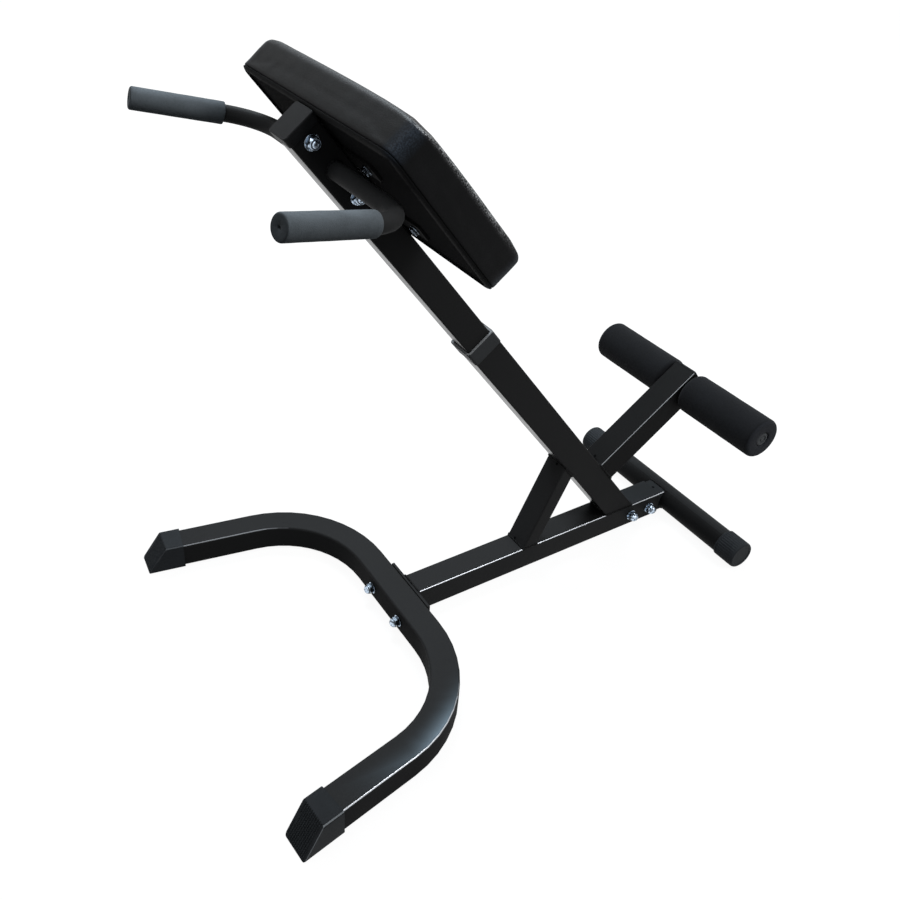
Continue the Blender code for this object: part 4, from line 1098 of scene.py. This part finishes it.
def shape_cover(bm, half_width, half_depth, height):
    """Draws the corners in, with small pleats low on them, and notes painted sheen, highlight and seam shade.
    """
    corner_sheen, rim, seam_shade = (bm.verts.layers.float.new(name) for name in ("corner_sheen", "rim", "seam_shade"))
    half = Vector((half_width - CORNER, half_depth - CORNER))
    for vert in bm.verts:
        place, level = vert.co, vert.co.z
        from_corner = Vector((half_width - abs(place.x), half_depth - abs(place.y))).length
        tight = max(0.0, 1 - from_corner / DRAWN_IN)
        # Painted sheen round the corners
        vert[corner_sheen] = clamp(1.25 - from_corner / CORNER)
        corner = Vector((max(0.0, abs(place.x) - half.x), max(0.0, abs(place.y) - half.y)))
        # The pad's upper corners are worn down more than its lower ones, and the upper near one most of all
        if level > WORN_FROM:
            from_upper_near = Vector((half_width - place.x, half_depth + place.y)).length
            drop = (0.0090 if place.y < 0 else 0.0060) * tight ** 1.5
            drop += 0.0110 * math.exp(-from_upper_near / 0.075)
            place.z -= drop * (level - WORN_FROM) / (height - WORN_FROM)
        if corner.length < 0.008:
            continue
        # Painted highlight along the top edge of the near end
        near_side = clamp((place.x - half_width + 0.030) / 0.018)
        upper_part = clamp((half_depth * 0.8 - place.y) / 0.07)
        vert[rim] = math.exp(-((level - height + 0.0085) / 0.0040) ** 2) * near_side * upper_part
        out = Vector((math.copysign(corner.x, place.x), math.copysign(corner.y, place.y))).normalized()
        # Painted shade along the seam's groove, and over the lip below it
        vert[seam_shade] = math.exp(-((place.z - SEAM) / 0.0008) ** 2)
        inwards = 0.0009 * max(0.0, 1 - place.z / 0.03) + 0.0015 * vert[seam_shade]
        if place.z < SEAM:
            vert[seam_shade] = max(vert[seam_shade], 0.6)
        turn = math.atan2(corner.y, corner.x)
        bend = math.sin(2 * turn) if min(corner) > 0.0005 else 0.0
        pleat = math.cos(turn * 22) * bend * max(0.0, 1 - abs(place.z - 0.008) / 0.014)
        inwards += 0.0004 * (1 + pleat) * bend + 0.0016 * tight * (place.z / height) ** 2
        inwards += 0.00035 * (1 + noise.noise(place * 38)) * clamp(place.z / 0.01)
        place.xy -= out * min(inwards, corner.length * 0.5)


class BENCH_OT_stage(bpy.types.Operator):
    """Pale floor, soft lamps and the camera"""
    bl_idname = "bench.stage"
    bl_label = "Stage"

    def execute(self, context):
        settings = context.scene.bench_stage
        self.floor()
        self.world(settings.sky)
        self.lamps(settings.key)
        self.camera(settings.lens)
        context.scene.view_settings.view_transform = "Standard"
        return {"FINISHED"}

    def floor(self):
        bm = bmesh.new()
        bmesh.ops.create_circle(bm, cap_ends=True, segments=96, radius=9.0)
        mesh = as_mesh("studio_floor", bm)
        finish = Finish("studio_floor")
        pale = finish.tint(finish.grain(0.05, 3.0, 0.6), (0.085, 0.085, 0.085), (0.095, 0.095, 0.095))
        away = finish.make("ShaderNodeVectorMath", {0: finish.place}, "Value", operation="LENGTH")
        shine = finish.tint(away.between(1.2, 2.6), (0.93, 0.93, 0.93), (1.0, 1.0, 1.0))
        bounce = finish.make("ShaderNodeBsdfDiffuse", {"Color": (0.07, 0.07, 0.07, 1)})
        white = finish.make("ShaderNodeAddShader", {
            0: finish.make("ShaderNodeBsdfDiffuse", {"Color": pale}),
            1: finish.make("ShaderNodeEmission", {"Color": shine, "Strength": 1.0})})
        end_stage(finish, "ShaderNodeOutputMaterial", bounce, white)
        mesh.materials.append(finish.material)
        floor = placed("studio_floor", mesh)
        floor.location.z = -0.0005

    def world(self, sky):
        world = bpy.data.worlds.new("studio")
        bpy.context.scene.world = world
        finish = Finish("studio", world)
        soft = finish.make("ShaderNodeBackground", {"Color": (0.97, 0.985, 1, 1), "Strength": sky})
        white = finish.make("ShaderNodeBackground", {"Color": (1, 1, 1, 1), "Strength": 1.0})
        end_stage(finish, "ShaderNodeOutputWorld", soft, white)

    def lamps(self, key):
        self.lamp("key_lamp", (-1.7, 0.7, 2.6), 2.4, 1.8, 30 * key, (0.84, 0.93, 1.0))
        self.lamp("cool_lamp", (-1.35, 0.5, 2.4), 1.0, 0.8, 40 * key, (0.84, 0.93, 1.0))
        self.lamp("edge_lamp", (1.7, 1.2, 2.6), 1.3, 0.6, 44 * key, (1.0, 1.0, 1.0))
        self.lamp("top_lamp", (0.1, -0.9, 3.2), 1.6, 1.6, 34 * key, (0.92, 0.96, 1.0))

    def lamp(self, name, place, width, depth, power, tone):
        data = bpy.data.lights.new(name, "AREA")
        data.shape = "RECTANGLE"
        data.size, data.size_y = width, depth
        data.energy = power
        data.color = tone
        lamp = placed(name, data)
        lamp.location = place
        lamp.rotation_euler = (Vector((0, 0, 0.4)) - Vector(place)).to_track_quat("-Z", "Y").to_euler()

    def camera(self, lens):
        """Stands where the photograph was taken from."""
        data = bpy.data.cameras.new("camera")
        data.lens, data.sensor_width = lens, 36.0
        data.shift_x, data.shift_y = 0.1088, -0.0589
        data.clip_start, data.clip_end = 0.05, 60
        camera = placed("camera", data)
        camera.location = (1.0770, -0.8295, 1.3403)
        camera.rotation_euler = (math.radians(90 - 34.12), 0, math.radians(61.52))
        bpy.context.scene.camera = camera


def end_stage(finish, kind, lit, shown):
    """Ends a material of the stage, of which a camera, a gloss and a clear surface see only what is shown."""
    rays = [finish.make("ShaderNodeLightPath", output=name)
            for name in ("Is Camera Ray", "Is Glossy Ray", "Is Transmission Ray")]
    seen = rays[0].maths("MAXIMUM", rays[0].maths("MAXIMUM", rays[0], rays[1]), rays[2])
    finish.make(kind, {"Surface": finish.make("ShaderNodeMixShader", {0: seen, 1: lit, 2: shown})})


OPERATORS = (BENCH_OT_steel, BENCH_OT_welds, BENCH_OT_fasteners, BENCH_OT_foot_caps, BENCH_OT_plastics,
             BENCH_OT_rollers, BENCH_OT_grips, BENCH_OT_pad, BENCH_OT_stage)


class BENCH_PT_panel(bpy.types.Panel):
    """Lists the bench's pieces and their settings"""
    bl_idname = "BENCH_PT_panel"
    bl_label = "Hyperextension Bench"
    bl_space_type = "VIEW_3D"
    bl_region_type = "UI"
    bl_category = "Bench"

    def draw(self, context):
        for operator in OPERATORS:
            self.layout.operator(operator.bl_idname)
        for group in (context.scene.bench_colours, context.scene.bench_sizes, context.scene.bench_stage):
            for name in group.bl_rna.properties.keys():
                if name not in ("rna_type", "name"):
                    self.layout.prop(group, name)


CLASSES = (BenchColours, BenchSizes, BenchStage) + OPERATORS + (BENCH_PT_panel,)


def register():
    for made in CLASSES:
        bpy.utils.register_class(made)
    bpy.types.Scene.bench_colours = PointerProperty(type=BenchColours)
    bpy.types.Scene.bench_sizes = PointerProperty(type=BenchSizes)
    bpy.types.Scene.bench_stage = PointerProperty(type=BenchStage)


def unregister():
    for name in ("bench_colours", "bench_sizes", "bench_stage"):
        delattr(bpy.types.Scene, name)
    for made in reversed(CLASSES):
        bpy.utils.unregister_class(made)


def main():
    register()
    for operator in OPERATORS:
        group, name = operator.bl_idname.split(".")
        getattr(getattr(bpy.ops, group), name)()
    bpy.context.view_layer.update()


if __name__ == "__main__":
    main()
